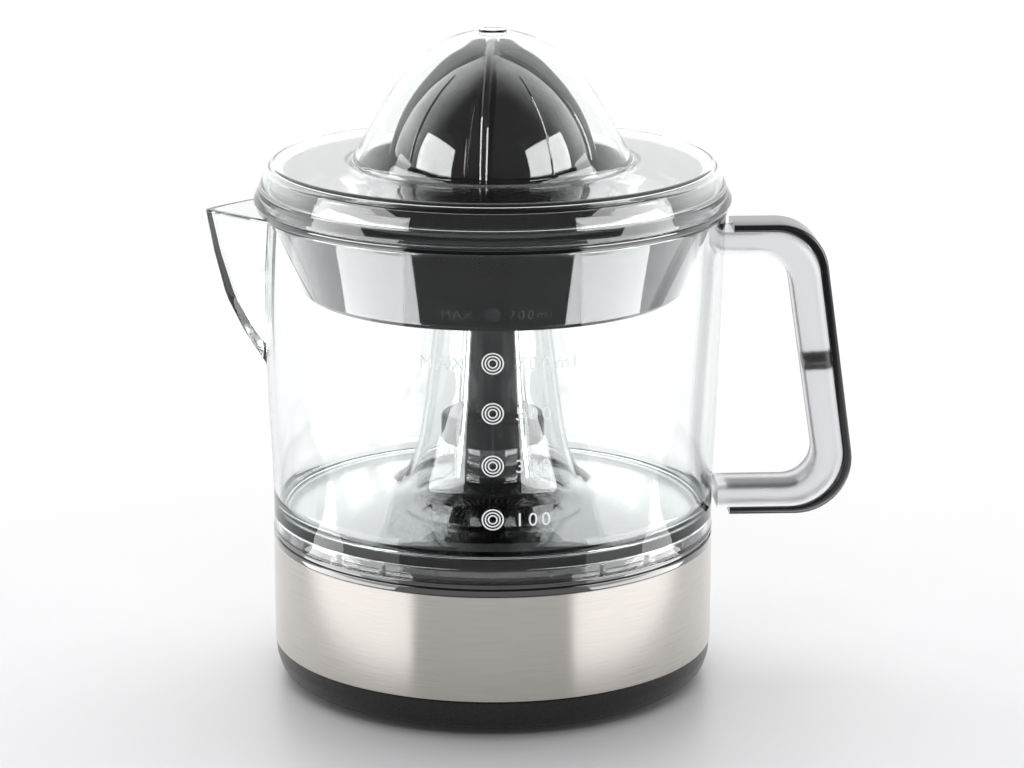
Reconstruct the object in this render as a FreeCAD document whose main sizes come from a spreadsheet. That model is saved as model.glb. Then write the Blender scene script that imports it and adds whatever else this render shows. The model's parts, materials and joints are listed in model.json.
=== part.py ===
"""Electric citrus press: motor base, clear jug on a central column, strainer, pressing cone and lid.

Millimetres. Z is up, the standing plane is z = 0 and the Z axis is the spindle axis. The handle points
to +X, the spout to -X and the graduation to -Y.
"""
import FreeCAD, Part
import math
import os
import Sketcher

doc = FreeCAD.newDocument("citrus_press")

# ---------------------------------------------------------------- driving dimensions
SIZES = {
    # base
    "base_radius": 68.3, "foot_height": 1.2, "shell_top": 12.0, "band_top": 44.8, "deck_z": 48.8,
    "band_wall": 0.6, "case_wall": 2.4, "deck_radius": 64.6, "deck_rise": 3.6,
    "hub_radius": 24.0, "hub_top": 63.4, "sleeve_radius": 10.6, "sleeve_top": 74.4,
    "screw_radius": 1.25, "screw_head": 2.6, "cord_z": 26.0, "gland_radius": 6.0, "cord_bore": 3.5,
    "foot_radius": 6.0, "foot_ring": 52.0, "boss_radius": 4.0, "boss_ring": 59.6, "boss_foot": 7.2,
    # column
    "spindle_radius": 4.5, "pin_radius": 2.0, "running_gap": 0.1, "bush_radius": 7.0,
    "spindle_bottom": 20.0, "spindle_top": 97.0, "socket_radius": 5.6,
    "collar_radius": 16.0, "collar_bottom": 75.2, "collar_height": 8.6,
    "tube_radius": 7.75, "tube_bottom": 84.6, "tube_top": 157.0, "tube_bore": 4.2, "press_travel": 2.5,
    # gear train
    "gear_module": 1.25, "pinion_teeth": 10, "wheel_teeth": 40, "small_teeth": 12, "output_teeth": 44,
    "plate_z": 31.0, "plate_thick": 2.0, "plate_radius": 54.0, "plate_ring": 48.0,
    "wheel_z": 34.5, "gear_width": 5.0, "output_z": 41.0, "motor_angle": 195.0,
    # motor
    "stack_width": 34.0, "stack_length": 54.0, "stack_height": 16.0, "stack_z": 9.5,
    "rotor_radius": 11.0, "air_gap": 0.5, "motor_shaft": 1.6,
    # jug
    "jug_radius": 68.2, "rim_radius": 71.4, "rim_z": 148.4, "jug_wall": 2.0, "floor_z": 55.2,
    "floor_rise": 5.6, "chimney_foot": 29.0, "chimney_waist": 21.0, "waist_z": 87.0,
    "chimney_head": 16.8, "chimney_top": 119.0, "chimney_wall": 1.4, "guide_depth": 2.0,
    "spout_reach": 87.6, "spout_low": 99.0, "spout_half": 20.0, "spout_angle": 183.0,
    # handle
    "handle_width": 17.0, "handle_thick": 7.6, "strip_thick": 2.0, "strip_width": 15.6,
    "handle_top": 143.0, "handle_foot": 51.0, "handle_high": 101.0, "handle_low": 114.4,
    "corner_high": 21.0, "corner_low": 19.0, "handle_angle": 3.0,
    # strainer
    "bowl_foot": 59.0, "bowl_bottom": 122.9, "bowl_neck": 68.0, "flange_radius": 72.2,
    "flange_thick": 2.2, "bowl_wall": 2.0, "upstand_radius": 66.6, "upstand_top": 159.4,
    "hub_bore": 8.6, "hub_wall": 2.2, "hub_top_z": 146.0, "slot_inner": 20.0, "slot_outer": 53.0,
    "slot_width": 1.8, "slot_count": 36,
    # cone
    "cone_radius": 31.4, "cone_bottom": 159.8, "cone_top": 199.6, "cone_wall": 2.0, "fin_rise": 1.4,
    "fin_width": 2.4, "rib_width": 1.4, "skirt_radius": 29.6, "skirt_z": 153.0, "fin_angle": 85.0,
    # lid
    "lid_radius": 73.4, "lid_bottom": 150.9, "lid_top": 162.8, "plate_edge": 67.0, "lid_wall": 1.8,
    "dome_radius": 43.4, "dome_top": 202.0, "knob_radius": 4.2, "knob_rise": 0.9,
}

sheet = doc.addObject("Spreadsheet::Sheet", "Sizes")
for row, (alias, number) in enumerate(SIZES.items(), start=1):
    sheet.set(f"A{row}", alias)
    sheet.set(f"B{row}", str(number))
    sheet.setAlias(f"B{row}", alias)
doc.recompute()

CASE_SCREWS = (30, 150, 210, 330)   # azimuths of the screws that close the case
PLATE_SCREWS = (30, 150, 270)       # azimuths of the screws of the gearbox plate
PIECES = []


# ---------------------------------------------------------------- helpers
def size(terms):
    """Value of a sum such as 'rim_z - jug_wall': names of the sheet and plain numbers."""
    total = 0.0
    sign = 1.0
    for term in str(terms).split():
        if term in ("+", "-"):
            sign = 1.0 if term == "+" else -1.0
        else:
            total += sign * (sheet.get(term) if term in SIZES else float(term))
            sign = 1.0
    return total


def formula(terms):
    """The same sum as a sheet expression."""
    words = str(terms).split()
    return " ".join(f"Sizes.{word}" if word in SIZES else word for word in words)


def bind(thing, path, terms):
    """Tie one property to a sum of sheet values."""
    thing.setExpression(path, formula(terms))


def new_body(name):
    """An empty body that will be written out under its own name."""
    body = doc.addObject("PartDesign::Body", name)
    body.Label = name
    body.AllowCompound = True
    PIECES.append(body)
    return body


def sketch_on(body, role, turn=0.0, lift=None):
    """A sketch on an origin plane, turned about the spindle axis or lifted along it."""
    sketch = body.newObject("Sketcher::SketchObject", body.Name + "_sketch")
    plane = [item for item in body.Origin.OriginFeatures if item.Role == role][0]
    sketch.AttachmentSupport = [(plane, "")]
    sketch.MapMode = "FlatFace"
    axis = FreeCAD.Vector(0, 1, 0) if role == "XZ_Plane" else FreeCAD.Vector(0, 0, 1)
    height = size(lift) if lift else 0.0
    spot = FreeCAD.Placement(FreeCAD.Vector(0, 0, height), FreeCAD.Rotation(axis, turn))
    sketch.AttachmentOffset = spot
    if lift:
        bind(sketch, "AttachmentOffset.Base.z", lift)
    return sketch


def pin_down(sketch, index, point, terms):
    """Tie one vertex of the sketch to its two sums; zero means on the sketch axis."""
    for kind, on_axis, value in (("DistanceX", -2, terms[0]), ("DistanceY", -1, terms[1])):
        number = size(value)
        if abs(number) < 1e-9:
            sketch.addConstraint(Sketcher.Constraint("PointOnObject", index, point, on_axis))
        else:
            rule = sketch.addConstraint(Sketcher.Constraint(kind, -1, 1, index, point, number))
            bind(sketch, f"Constraints[{rule}]", value)


def outline(sketch, corners):
    """Closed outline through the corners. A third item bows the side that leads to that corner."""
    places = [FreeCAD.Vector(size(corner[0]), size(corner[1]), 0) for corner in corners]
    for index, corner in enumerate(corners):
        start = places[index - 1]
        end = places[index]
        if len(corner) > 2:
            chord = end - start
            middle = (start + end) * 0.5 + FreeCAD.Vector(-chord.y, chord.x, 0) * corner[2]
            swapped = corner[2] > 0
            first, last = (end, start) if swapped else (start, end)
            sketch.addGeometry(Part.Arc(first, middle, last), False)
        else:
            sketch.addGeometry(Part.LineSegment(start, end), False)
            swapped = False
        pin_down(sketch, index, 1 if swapped else 2, corner)
        pin_down(sketch, index, 2 if swapped else 1, corners[index - 1])
        if len(corner) > 2:
            sketch.addConstraint(Sketcher.Constraint("Radius", index, sketch.Geometry[index].Radius))


def revolve(body, corners, cut=False, turn=0.0):
    """Turn an outline of (radius, height) corners about Z, as material or as a groove."""
    kind = "PartDesign::Groove" if cut else "PartDesign::Revolution"
    before = body.Shape.Volume if cut else 0.0
    feature = body.newObject(kind, body.Name + "_turn")
    sketch = sketch_on(body, "XZ_Plane", turn)
    outline(sketch, corners)
    feature.Profile = sketch
    feature.ReferenceAxis = (sketch, ["V_Axis"])
    feature.Angle = 360.0
    doc.recompute()
    if cut and not body.Shape.Volume < before:
        raise RuntimeError(body.Label + ": a groove removed nothing")
    return feature


def pad(body, role, corners, length, turn=0.0, lift=None, midplane=False, cut=False):
    """Straight extrusion of an outline, as material or as a pocket."""
    before = body.Shape.Volume if cut else 0.0
    feature = body.newObject("PartDesign::Pocket" if cut else "PartDesign::Pad", body.Name + "_pad")
    sketch = sketch_on(body, role, turn, lift)
    if corners and isinstance(corners[0], str):
        circles(sketch, corners)
    else:
        outline(sketch, corners)
    feature.Profile = sketch
    feature.Length = size(length)
    bind(feature, "Length", length)
    feature.Midplane = midplane
    feature.Reversed = cut and not midplane and role == "XY_Plane"
    doc.recompute()
    if cut and not body.Shape.Volume < before:
        raise RuntimeError(body.Label + ": a pocket removed nothing")
    return feature


def circles(sketch, spec):
    """Concentric circles: centre x, centre y, then the radii as sums."""
    centre = FreeCAD.Vector(size(spec[0]), size(spec[1]), 0)
    for radius in spec[2:]:
        index = sketch.addGeometry(Part.Circle(centre, FreeCAD.Vector(0, 0, 1), size(radius)), False)
        rule = sketch.addConstraint(Sketcher.Constraint("Radius", index, size(radius)))
        bind(sketch, f"Constraints[{rule}]", radius)
        pin_down(sketch, index, 3, spec[:2])


def around_z(body, features, count):
    """Repeat features about the body's own Z axis."""
    pattern = body.newObject("PartDesign::PolarPattern", body.Name + "_ring")
    axis = [item for item in body.Origin.OriginFeatures if item.Role == "Z_Axis"][0]
    pattern.Originals = features
    pattern.Axis = (axis, [""])
    pattern.Angle = 360.0
    pattern.Occurrences = count
    body.Tip = pattern
    doc.recompute()
    return pattern


def turned(name, corners):
    """A whole piece made by turning one outline."""
    body = new_body(name)
    revolve(body, corners)
    return body


def rod(name, low, high, radius, bore=None):
    """A plain round bar or tube on the spindle axis."""
    inner = bore if bore else "0"
    return turned(name, [(inner, low), (radius, low), (radius, high), (inner, high)])


def plain(name, shape):
    """A piece computed from the sheet with Part's own functions."""
    piece = doc.addObject("Part::Feature", name)
    piece.Label = name
    piece.Shape = shape
    PIECES.append(piece)
    return piece


def bar(x, y, low, high, radius):
    """Upright cylinder shape."""
    return Part.makeCylinder(radius, high - low, FreeCAD.Vector(x, y, low))


def polar(radius, degrees):
    """x and y at a radius and an azimuth."""
    turn = math.radians(degrees)
    return radius * math.cos(turn), radius * math.sin(turn)


# ---------------------------------------------------------------- gear train layout
def gear_radius(teeth_name):
    return size("gear_module") * size(teeth_name) / 2.0


IDLER_Y = gear_radius("small_teeth") + gear_radius("output_teeth")
PINION_GAP = gear_radius("pinion_teeth") + gear_radius("wheel_teeth")
MOTOR_X = PINION_GAP * math.cos(math.radians(size("motor_angle")))
MOTOR_Y = IDLER_Y + PINION_GAP * math.sin(math.radians(size("motor_angle")))


def involute(base, radius):
    """Polar angle gained by an involute from its base circle up to a radius."""
    if radius <= base:
        return 0.0
    lean = math.sqrt((radius / base) ** 2 - 1.0)
    return lean - math.atan(lean)


def gear_shape(teeth, low, width, bore, phase):
    """Spur gear with involute flanks, 20 degree pressure angle and generous backlash."""
    module = size("gear_module")
    pitch = module * teeth / 2.0
    base = pitch * math.cos(math.radians(20.0))
    root = pitch - 1.25 * module
    tip = pitch + 0.9 * module
    backlash = 0.36 * module
    half = (math.pi * module / 2.0 - backlash) / (2.0 * pitch) + involute(base, pitch)
    start = max(root, base)
    radii = [start + (tip - start) * step / 3.0 for step in range(4)]
    rim = []
    for tooth in range(teeth):
        middle = 2.0 * math.pi * tooth / teeth + phase
        if root < start:
            rim.append((root, middle - half))
        rim += [(radius, middle - half + involute(base, radius)) for radius in radii]
        rim += [(radius, middle + half - involute(base, radius)) for radius in reversed(radii)]
        if root < start:
            rim.append((root, middle + half))
    points = [FreeCAD.Vector(r * math.cos(a), r * math.sin(a), low) for r, a in rim]
    face = Part.Face(Part.makePolygon(points + points[:1]))
    blank = face.extrude(FreeCAD.Vector(0, 0, width))
    return blank.cut(bar(0, 0, low - 1.0, low + width + 1.0, bore))


# ---------------------------------------------------------------- base housing
def bottom_shell():
    """Black tray: rounded outside, flat floor, with a shoulder for the steel band."""
    body = turned("bottom_shell", [
        ("0", "foot_height"),
        ("base_radius - 7", "foot_height"),
        ("base_radius - 0.6", "foot_height + 5.2", -0.17),
        ("base_radius - 0.1", "shell_top"),
        ("base_radius - case_wall - 1.2", "shell_top"),
        ("base_radius - case_wall - 1.8", "foot_height + 6"),
        ("base_radius - 9", "foot_height + case_wall", 0.17),
        ("0", "foot_height + case_wall"),
    ])
    for azimuth in CASE_SCREWS:
        x, y = polar(size("boss_ring"), azimuth)
        pad(body, "XY_Plane", [str(x), str(y), "boss_radius"], "boss_foot - foot_height - 1",
            lift="foot_height + 1")
        for radius, depth in (("screw_radius", "boss_foot"), ("screw_head + 0.3", "2.2")):
            pad(body, "XY_Plane", [str(x), str(y), radius], depth, lift="foot_height - 1", cut=True)
    return body


def steel_band():
    """Brushed steel wrap, with the cord hole at the back."""
    band = rod("steel_band", "shell_top", "band_top", "base_radius", "base_radius - band_wall")
    cord_hole(band)


def cord_hole(body):
    """Round hole through the back wall for the cord gland."""
    pad(body, "XZ_Plane", ["0", "cord_z", "gland_radius"], "base_radius + 2", cut=True)


def top_cover():
    """Black cover: ring, skirt behind the band, low conical deck and the fixed column sleeve."""
    body = turned("top_cover", [
        ("base_radius - band_wall", "shell_top"),
        ("base_radius - band_wall", "band_top"),
        ("base_radius + 0.1", "band_top"),
        ("base_radius + 0.1", "band_top + 2"),
        ("base_radius - 0.6", "band_top + 2.3"),
        ("base_radius - 0.6", "band_top + 2.8"),
        ("base_radius + 0.1", "band_top + 3.1"),
        ("base_radius + 0.1", "deck_z"),
        ("deck_radius", "deck_z"),
        ("deck_radius", "deck_z + deck_rise"),
        ("hub_radius", "deck_z + deck_rise + 5"),
        ("hub_radius - 7", "hub_top - 3", 0.12),
        ("hub_radius - 11.5", "hub_top"),
        ("sleeve_radius", "hub_top"),
        ("sleeve_radius", "sleeve_top"),
        ("bush_radius", "sleeve_top"),
        ("bush_radius", "hub_top - 5"),
        ("deck_radius - case_wall", "deck_z + deck_rise - case_wall"),
        ("base_radius - band_wall - case_wall", "band_top - 1"),
        ("base_radius - band_wall - case_wall", "shell_top"),
    ])
    for azimuth in CASE_SCREWS:
        x, y = polar(size("boss_ring"), azimuth)
        pad(body, "XY_Plane", [str(x), str(y), "boss_radius", "screw_radius"],
            "deck_z + 2.5 - boss_foot", lift="boss_foot")
    for azimuth in PLATE_SCREWS:
        x, y = polar(size("plate_ring"), azimuth)
        pad(body, "XY_Plane", [str(x), str(y), "boss_radius - 0.5", "screw_radius"],
            "deck_z + deck_rise - plate_z - plate_thick", lift="plate_z + plate_thick")
    cord_hole(body)


def feet_and_screws():
    """Four rubber feet, and the screws of the case, the gearbox plate and the motor."""
    foot = new_body("rubber_feet")
    x, y = polar(size("foot_ring"), 45)
    around_z(foot, [pad(foot, "XY_Plane", [str(x), str(y), "foot_radius"], "foot_height")], 4)
    screws("case_screws", [(size("boss_ring"), a) for a in CASE_SCREWS], "foot_height", 1.2, 14.0)
    screws("gearbox_screws", [(size("plate_ring"), a) for a in PLATE_SCREWS], "plate_z - 2", 2.0, 11.0)


def screws(name, spots, head_low, head_height, length):
    """Pan-head screws driven upwards: one node of separate solids."""
    low = size(head_low)
    group = []
    for ring, azimuth in spots:
        x, y = polar(ring, azimuth)
        head = bar(x, y, low, low + head_height, size("screw_head"))
        recess = Part.makeBox(3.6, 0.7, 0.8, FreeCAD.Vector(x - 1.8, y - 0.35, low - 0.1))
        thread = bar(x, y, low, low + length, size("screw_radius"))
        group.append(head.fuse(thread).cut(recess).removeSplitter())
    plain(name, Part.makeCompound(group))


# ---------------------------------------------------------------- drive train
def gearbox():
    """Gear carrier plate, bushes, idler axle and wheels."""
    low = size("plate_z")
    high = size("plate_z + plate_thick")
    plate = bar(0, 0, low, high, size("plate_radius"))
    holes = [bar(0, 0, 0, high + 1, size("bush_radius") - 1.0), bar(0, IDLER_Y, 0, high + 1, 2.0),
             bar(MOTOR_X, MOTOR_Y, 0, high + 1, 4.0)]
    holes += [bar(*polar(size("plate_ring"), azimuth), 0, high + 1, 1.25) for azimuth in (30, 150, 270)]
    holes += [bar(MOTOR_X, MOTOR_Y + side * 14.0, 0, high + 1, 1.25) for side in (-1, 1)]
    for hole in holes:
        plate = plate.cut(hole)
    plain("gearbox_plate", plate)
    axle = bar(0, IDLER_Y, low, size("output_z + gear_width + 1"), 2.0)
    plain("idler_axle", axle.fuse(bar(0, IDLER_Y, low - 1.0, low, 3.2)).removeSplitter())
    wheel = gear_shape(int(size("wheel_teeth")), size("wheel_z"), size("gear_width"), 2.1, 0.0)
    step = gear_shape(int(size("small_teeth")), size("wheel_z + gear_width"),
                      size("output_z - wheel_z"), 2.1, 0.0)
    idler = wheel.fuse(step).removeSplitter()
    idler.translate(FreeCAD.Vector(0, IDLER_Y, 0))
    plain("idler_gear", idler)
    # the output wheel shows a gap towards the idler, whose small wheel shows a tooth there
    output_phase = math.pi / 2.0 + math.pi / size("output_teeth")
    output = gear_shape(int(size("output_teeth")), size("output_z"), size("gear_width"),
                        size("spindle_radius"), output_phase)
    plain("output_gear", output)


def pinion():
    """Motor pinion, turned so that it shows a gap where the big wheel shows a tooth."""
    toward = math.atan2(IDLER_Y - MOTOR_Y, -MOTOR_X)
    wheel_step = 2.0 * math.pi / size("wheel_teeth")
    nearest = round((toward + math.pi) / wheel_step) * wheel_step
    lag = (toward + math.pi - nearest) * size("wheel_teeth") / size("pinion_teeth")
    phase = toward + math.pi / size("pinion_teeth") + lag
    shape = gear_shape(int(size("pinion_teeth")), size("wheel_z - 1"), size("gear_width + 2"),
                       size("motor_shaft"), phase)
    shape.translate(FreeCAD.Vector(MOTOR_X, MOTOR_Y, 0))
    plain("motor_pinion", shape)


def motor():
    """Small laminated motor hung under the gear plate."""
    low = size("stack_z")
    high = size("stack_z + stack_height")
    width = size("stack_width")
    corner = FreeCAD.Vector(MOTOR_X - width / 2.0, MOTOR_Y + 15.0 - size("stack_length"), low)
    stack = Part.makeBox(width, size("stack_length"), high - low, corner)
    stack = stack.cut(bar(MOTOR_X, MOTOR_Y, low - 1, high + 1, size("rotor_radius + air_gap")))
    window = Part.makeBox(9.0, 16.0, high - low + 2, FreeCAD.Vector(0, 0, low - 1))
    for side in (-1, 1):
        gap = window.copy()
        gap.translate(FreeCAD.Vector(MOTOR_X + side * 10.0 - 4.5, MOTOR_Y - 34.0, 0))
        stack = stack.cut(gap)
    bolts = [bar(MOTOR_X, MOTOR_Y + side * 14.0, 0, 60, 1.25) for side in (-1, 1)]
    for bolt in bolts:
        stack = stack.cut(bolt)
    plain("motor_stator", stack)
    coil = Part.makeBox(20.0, 14.0, high - low + 6, FreeCAD.Vector(MOTOR_X - 10.0, MOTOR_Y - 33.0, low - 3))
    core = Part.makeBox(11.0, 16.0, high - low, FreeCAD.Vector(MOTOR_X - 5.5, MOTOR_Y - 34.0, low))
    coil = coil.cut(core)
    coil = coil.makeFillet(1.5, [e for e in coil.Edges if abs(e.BoundBox.YLength - 14.0) < 0.01
                                 and abs(abs(e.BoundBox.Center.x - MOTOR_X) - 10.0) < 0.1])
    plain("motor_coil", coil)
    bracket = Part.makeBox(11.0, 34.0, 2.0, FreeCAD.Vector(MOTOR_X - 5.5, MOTOR_Y - 17.0, 0))
    brackets = []
    for level in (low - 2.0, high):
        piece = bracket.copy()
        piece.translate(FreeCAD.Vector(0, 0, level))
        for hole in bolts + [bar(MOTOR_X, MOTOR_Y, 0, 60, size("motor_shaft + running_gap"))]:
            piece = piece.cut(hole)
        brackets.append(piece)
    plain("motor_brackets", Part.makeCompound(brackets))
    spacers = [bar(MOTOR_X, MOTOR_Y + side * 14.0, high + 2.0, size("plate_z"), 2.4)
               .cut(bar(MOTOR_X, MOTOR_Y + side * 14.0, 0, 60, 1.25)) for side in (-1, 1)]
    plain("motor_spacers", Part.makeCompound(spacers))
    long_screws = [bar(MOTOR_X, MOTOR_Y + side * 14.0, low - 2.0, size("plate_z + plate_thick"), 1.25)
                   .fuse(bar(MOTOR_X, MOTOR_Y + side * 14.0, low - 3.6, low - 2.0, 2.4)).removeSplitter()
                   for side in (-1, 1)]
    plain("motor_screws", Part.makeCompound(long_screws))
    shaft = bar(MOTOR_X, MOTOR_Y, low - 3.0, size("wheel_z + gear_width + 1"), size("motor_shaft"))
    plain("rotor_shaft", shaft)
    rotor = bar(MOTOR_X, MOTOR_Y, low + 0.5, high - 0.5, size("rotor_radius"))
    plain("rotor_core", rotor.cut(bar(MOTOR_X, MOTOR_Y, low, high, size("motor_shaft"))))


def spindle():
    """Hollow output spindle with its bushes, retaining ring, collar and press pin."""
    hollow = "pin_radius + running_gap"
    rod("spindle_shaft", "spindle_bottom", "spindle_top", "spindle_radius", hollow)
    bore = "spindle_radius + running_gap"
    body = turned("spindle_bushes", [
        (bore, "plate_z"), ("bush_radius - 1", "plate_z"), ("bush_radius - 1", "plate_z + plate_thick"),
        ("bush_radius", "plate_z + plate_thick"), ("bush_radius", "output_z - 1"), (bore, "output_z - 1")])
    revolve(body, [(bore, "hub_top - 5"), ("bush_radius", "hub_top - 5"), ("bush_radius", "sleeve_top"),
                   (bore, "sleeve_top")])
    rod("retaining_ring", "plate_z - 2.4", "plate_z - 1.2", "spindle_radius + 2.5", "spindle_radius")
    body = turned("splash_collar", [
        ("spindle_radius", "collar_bottom"),
        ("collar_radius - 0.6", "collar_bottom"),
        ("collar_radius", "collar_bottom + 0.6"),
        ("collar_radius", "collar_bottom + collar_height - 1"),
        ("collar_radius - 1", "collar_bottom + collar_height"),
        ("spindle_radius", "collar_bottom + collar_height"),
    ])
    rod("push_pin", "spindle_bottom - 4", "spindle_top + press_travel + 1", "pin_radius")
    head = new_body("drive_dog")
    height = "spindle_top - collar_bottom - collar_height - 1"
    pad(head, "XY_Plane", hexagon("socket_radius - 0.35"), height, lift="collar_bottom + collar_height + 1")
    pad(head, "XY_Plane", ["0", "0", "spindle_radius"], height, lift="collar_bottom + collar_height + 1",
        cut=True)


def hexagon(across):
    """Corners of a hexagon outline on the axis."""
    radius = size(across)
    return [(str(radius * math.cos(math.radians(60 * n))), str(radius * math.sin(math.radians(60 * n))))
            for n in range(6)]


def switch():
    """Start switch under the spindle: body, button and the pin's return spring."""
    case = Part.makeBox(19.0, 6.4, 9.0, FreeCAD.Vector(-9.5, -3.2, size("foot_height + case_wall")))
    well = bar(0, 0, size("foot_height + case_wall") + 5.0, 40, 1.6)
    plain("microswitch", case.cut(well))
    plain("switch_button", bar(0, 0, size("foot_height + case_wall") + 8.2, size("spindle_bottom - 4"), 1.5))


def cord_gland():
    """Rubber gland where the mains cord enters at the back."""
    body = new_body("cord_gland")
    pad(body, "XZ_Plane", ["0", "cord_z", "gland_radius", "cord_bore"], "case_wall + 3")
    pad(body, "XZ_Plane", ["0", "cord_z", "gland_radius + 1.6", "cord_bore"], "1.4")
    body.Placement = FreeCAD.Placement(FreeCAD.Vector(0, size("base_radius + 1.4"), 0), FreeCAD.Rotation())
    return body


# ---------------------------------------------------------------- jug
JUG_LINE = [
    ("0", "deck_z"), ("jug_radius", "deck_z"), ("jug_radius + 0.4", "floor_z + 15"),
    ("jug_radius + 1.5", "floor_z + 45"), ("rim_radius", "rim_z"), ("0", "rim_z")]


def jug():
    """Clear jug: tapered wall, conical floor, flared chimney with guide ribs, and a V spout."""
    body = turned("jug", JUG_LINE)
    revolve(body, [
        ("chimney_foot + 3", "floor_z + floor_rise"),
        ("jug_radius - jug_wall - 2", "floor_z"),
        ("jug_radius - jug_wall + 0.3", "floor_z + 2.4", -0.2),
        ("jug_radius - jug_wall + 0.4", "floor_z + 15"),
        ("jug_radius - jug_wall + 1.5", "floor_z + 45"),
        ("rim_radius - jug_wall", "rim_z"),
        ("rim_radius - jug_wall", "rim_z + 1"),
        ("0", "rim_z + 1"),
        ("0", "chimney_top"),
        ("chimney_head", "chimney_top"),
        ("chimney_waist", "waist_z", -0.01),
        ("chimney_foot - 2", "floor_z + floor_rise + 3", -0.05),
    ], cut=True)
    revolve(body, [
        ("0", "deck_z - 1"),
        ("jug_radius - jug_wall", "deck_z - 1"),
        ("jug_radius - jug_wall", "floor_z - jug_wall"),
        ("chimney_foot + 1", "floor_z + floor_rise - jug_wall"),
        ("chimney_foot - 3.2", "floor_z + floor_rise + 1.6"),
        ("chimney_waist - chimney_wall", "waist_z", 0.05),
        ("chimney_head - chimney_wall", "chimney_top", 0.01),
        ("chimney_head - chimney_wall", "chimney_top + 1"),
        ("0", "chimney_top + 1"),
    ], cut=True)
    for turn in (0, 60, 120):
        for side in (False, True):
            guide = [(flip(radius) if side else radius, height) for radius, height in (
                ("chimney_waist - chimney_wall + 4", "waist_z - 22"),
                ("chimney_waist - chimney_wall + 2.6", "waist_z - 12"),
                ("chimney_waist - chimney_wall + 0.7", "waist_z"),
                ("chimney_head - chimney_wall + 0.7", "chimney_top - 1"),
                ("chimney_head - chimney_wall - guide_depth", "chimney_top - 1"),
                ("chimney_waist - chimney_wall - guide_depth", "waist_z"),
                ("chimney_waist - chimney_wall - guide_depth + 2", "waist_z - 12"),
                ("chimney_waist - chimney_wall - guide_depth + 4", "waist_z - 22"))]
            pad(body, "XZ_Plane", guide, "chimney_wall", turn=turn, midplane=True)
    return body


def flip(terms):
    """The same sum with every sign turned round."""
    swapped = {"+": "-", "-": "+"}
    return "0 - " + " ".join(swapped.get(word, word) for word in terms.split())


SPOUT_BACK = 58.0  # the spout's root reaches this far in, well behind the jug wall
SPOUT_ROOT = 69.4  # reach at its foot, just outside the jug wall
SPOUT_RISE = ((0.0, 0.0), (0.45, 0.683), (0.75, 0.883), (1.0, 1.0))  # share of height, share of reach
LIP_LENGTH = 2.0  # the rounded front of the V
LIP_HALF = 1.6


def spout_section(reach, half, height):
    """Rounded V of the spout at one height, pointing to -X."""
    tip = FreeCAD.Vector(-reach, 0, height)
    left = FreeCAD.Vector(-reach + LIP_LENGTH, LIP_HALF, height)
    right = FreeCAD.Vector(-reach + LIP_LENGTH, -LIP_HALF, height)
    back_left = FreeCAD.Vector(-SPOUT_BACK, half, height)
    back_right = FreeCAD.Vector(-SPOUT_BACK, -half, height)
    edges = [
        Part.Arc(left, tip, right).toShape(),
        Part.LineSegment(right, back_right).toShape(),
        Part.LineSegment(back_right, back_left).toShape(),
        Part.LineSegment(back_left, left).toShape(),
    ]
    return Part.Wire(edges)


def spout_shape(inset):
    """Solid of the spout, or of its hollow when inset is the wall."""
    low = size("spout_low")
    rise = size("rim_z") - low
    foot_half = 2.6
    root_half = size("spout_half") + 6.0
    stations = []
    for step, share in SPOUT_RISE:
        half = root_half * step ** 0.8 + foot_half - inset * 1.3
        reach = SPOUT_ROOT + (size("spout_reach") - SPOUT_ROOT) * share - inset
        height = low + rise * step
        if inset > 0:
            height += step * 0.5
        stations.append(spout_section(reach, max(half, 0.8), height))
    return Part.makeLoft(stations, True, False)


def add_spout(body):
    """Join the lofted spout to the turned jug, open it into the inside and turn it to its azimuth."""
    inside = Part.makeCone(size("jug_radius - 0.6"), size("rim_radius - 0.8"),
                           size("rim_z - spout_low + 6"), FreeCAD.Vector(0, 0, size("spout_low - 5")))
    outer = spout_shape(0.0)
    inner = spout_shape(size("jug_wall"))
    for shape in (outer, inner):
        shape.rotate(FreeCAD.Vector(0, 0, 0), FreeCAD.Vector(0, 0, 1), size("spout_angle") - 180.0)
    lip = outer.cut(inside)
    shape = body.Shape.fuse(lip).cut(inner).removeSplitter()
    body.Label = "jug_turning"
    PIECES.remove(body)
    plain("jug", shape)


# ---------------------------------------------------------------- handle
def handle_outline(depth, thick, start):
    """C outline: the outside line moved in by depth, and the same line moved in by depth + thick."""
    def corner(inward):
        lean = (size("handle_low") - size("handle_high")) / (size("handle_top") - size("handle_foot"))
        top = size("handle_top") - inward
        foot = size("handle_foot") + inward
        side = inward * (1.0 + 0.2 * (inward > 3.0))
        high = size("handle_high") - side + lean * inward
        low = size("handle_low") - side - lean * inward
        return [(start, top), (high, top), (low, foot), (start, foot)]
    return corner(depth), corner(depth + thick)


def rounded(points, radii):
    """Edges of an open polyline with tangent arcs at its inner corners."""
    edges = []
    last = points[0]
    for index in (1, 2):
        before = (points[index - 1] - points[index]).normalize()
        after = (points[index + 1] - points[index]).normalize()
        half = before.getAngle(after) / 2.0
        reach = radii[index - 1] / math.tan(half)
        centre = points[index] + (before + after).normalize() * (radii[index - 1] / math.sin(half))
        first = points[index] + before * reach
        second = points[index] + after * reach
        middle = centre + (points[index] - centre).normalize() * radii[index - 1]
        edges.append(Part.LineSegment(last, first).toShape())
        edges.append(Part.Arc(first, middle, second).toShape())
        last = second
    edges.append(Part.LineSegment(last, points[3]).toShape())
    return edges


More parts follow.
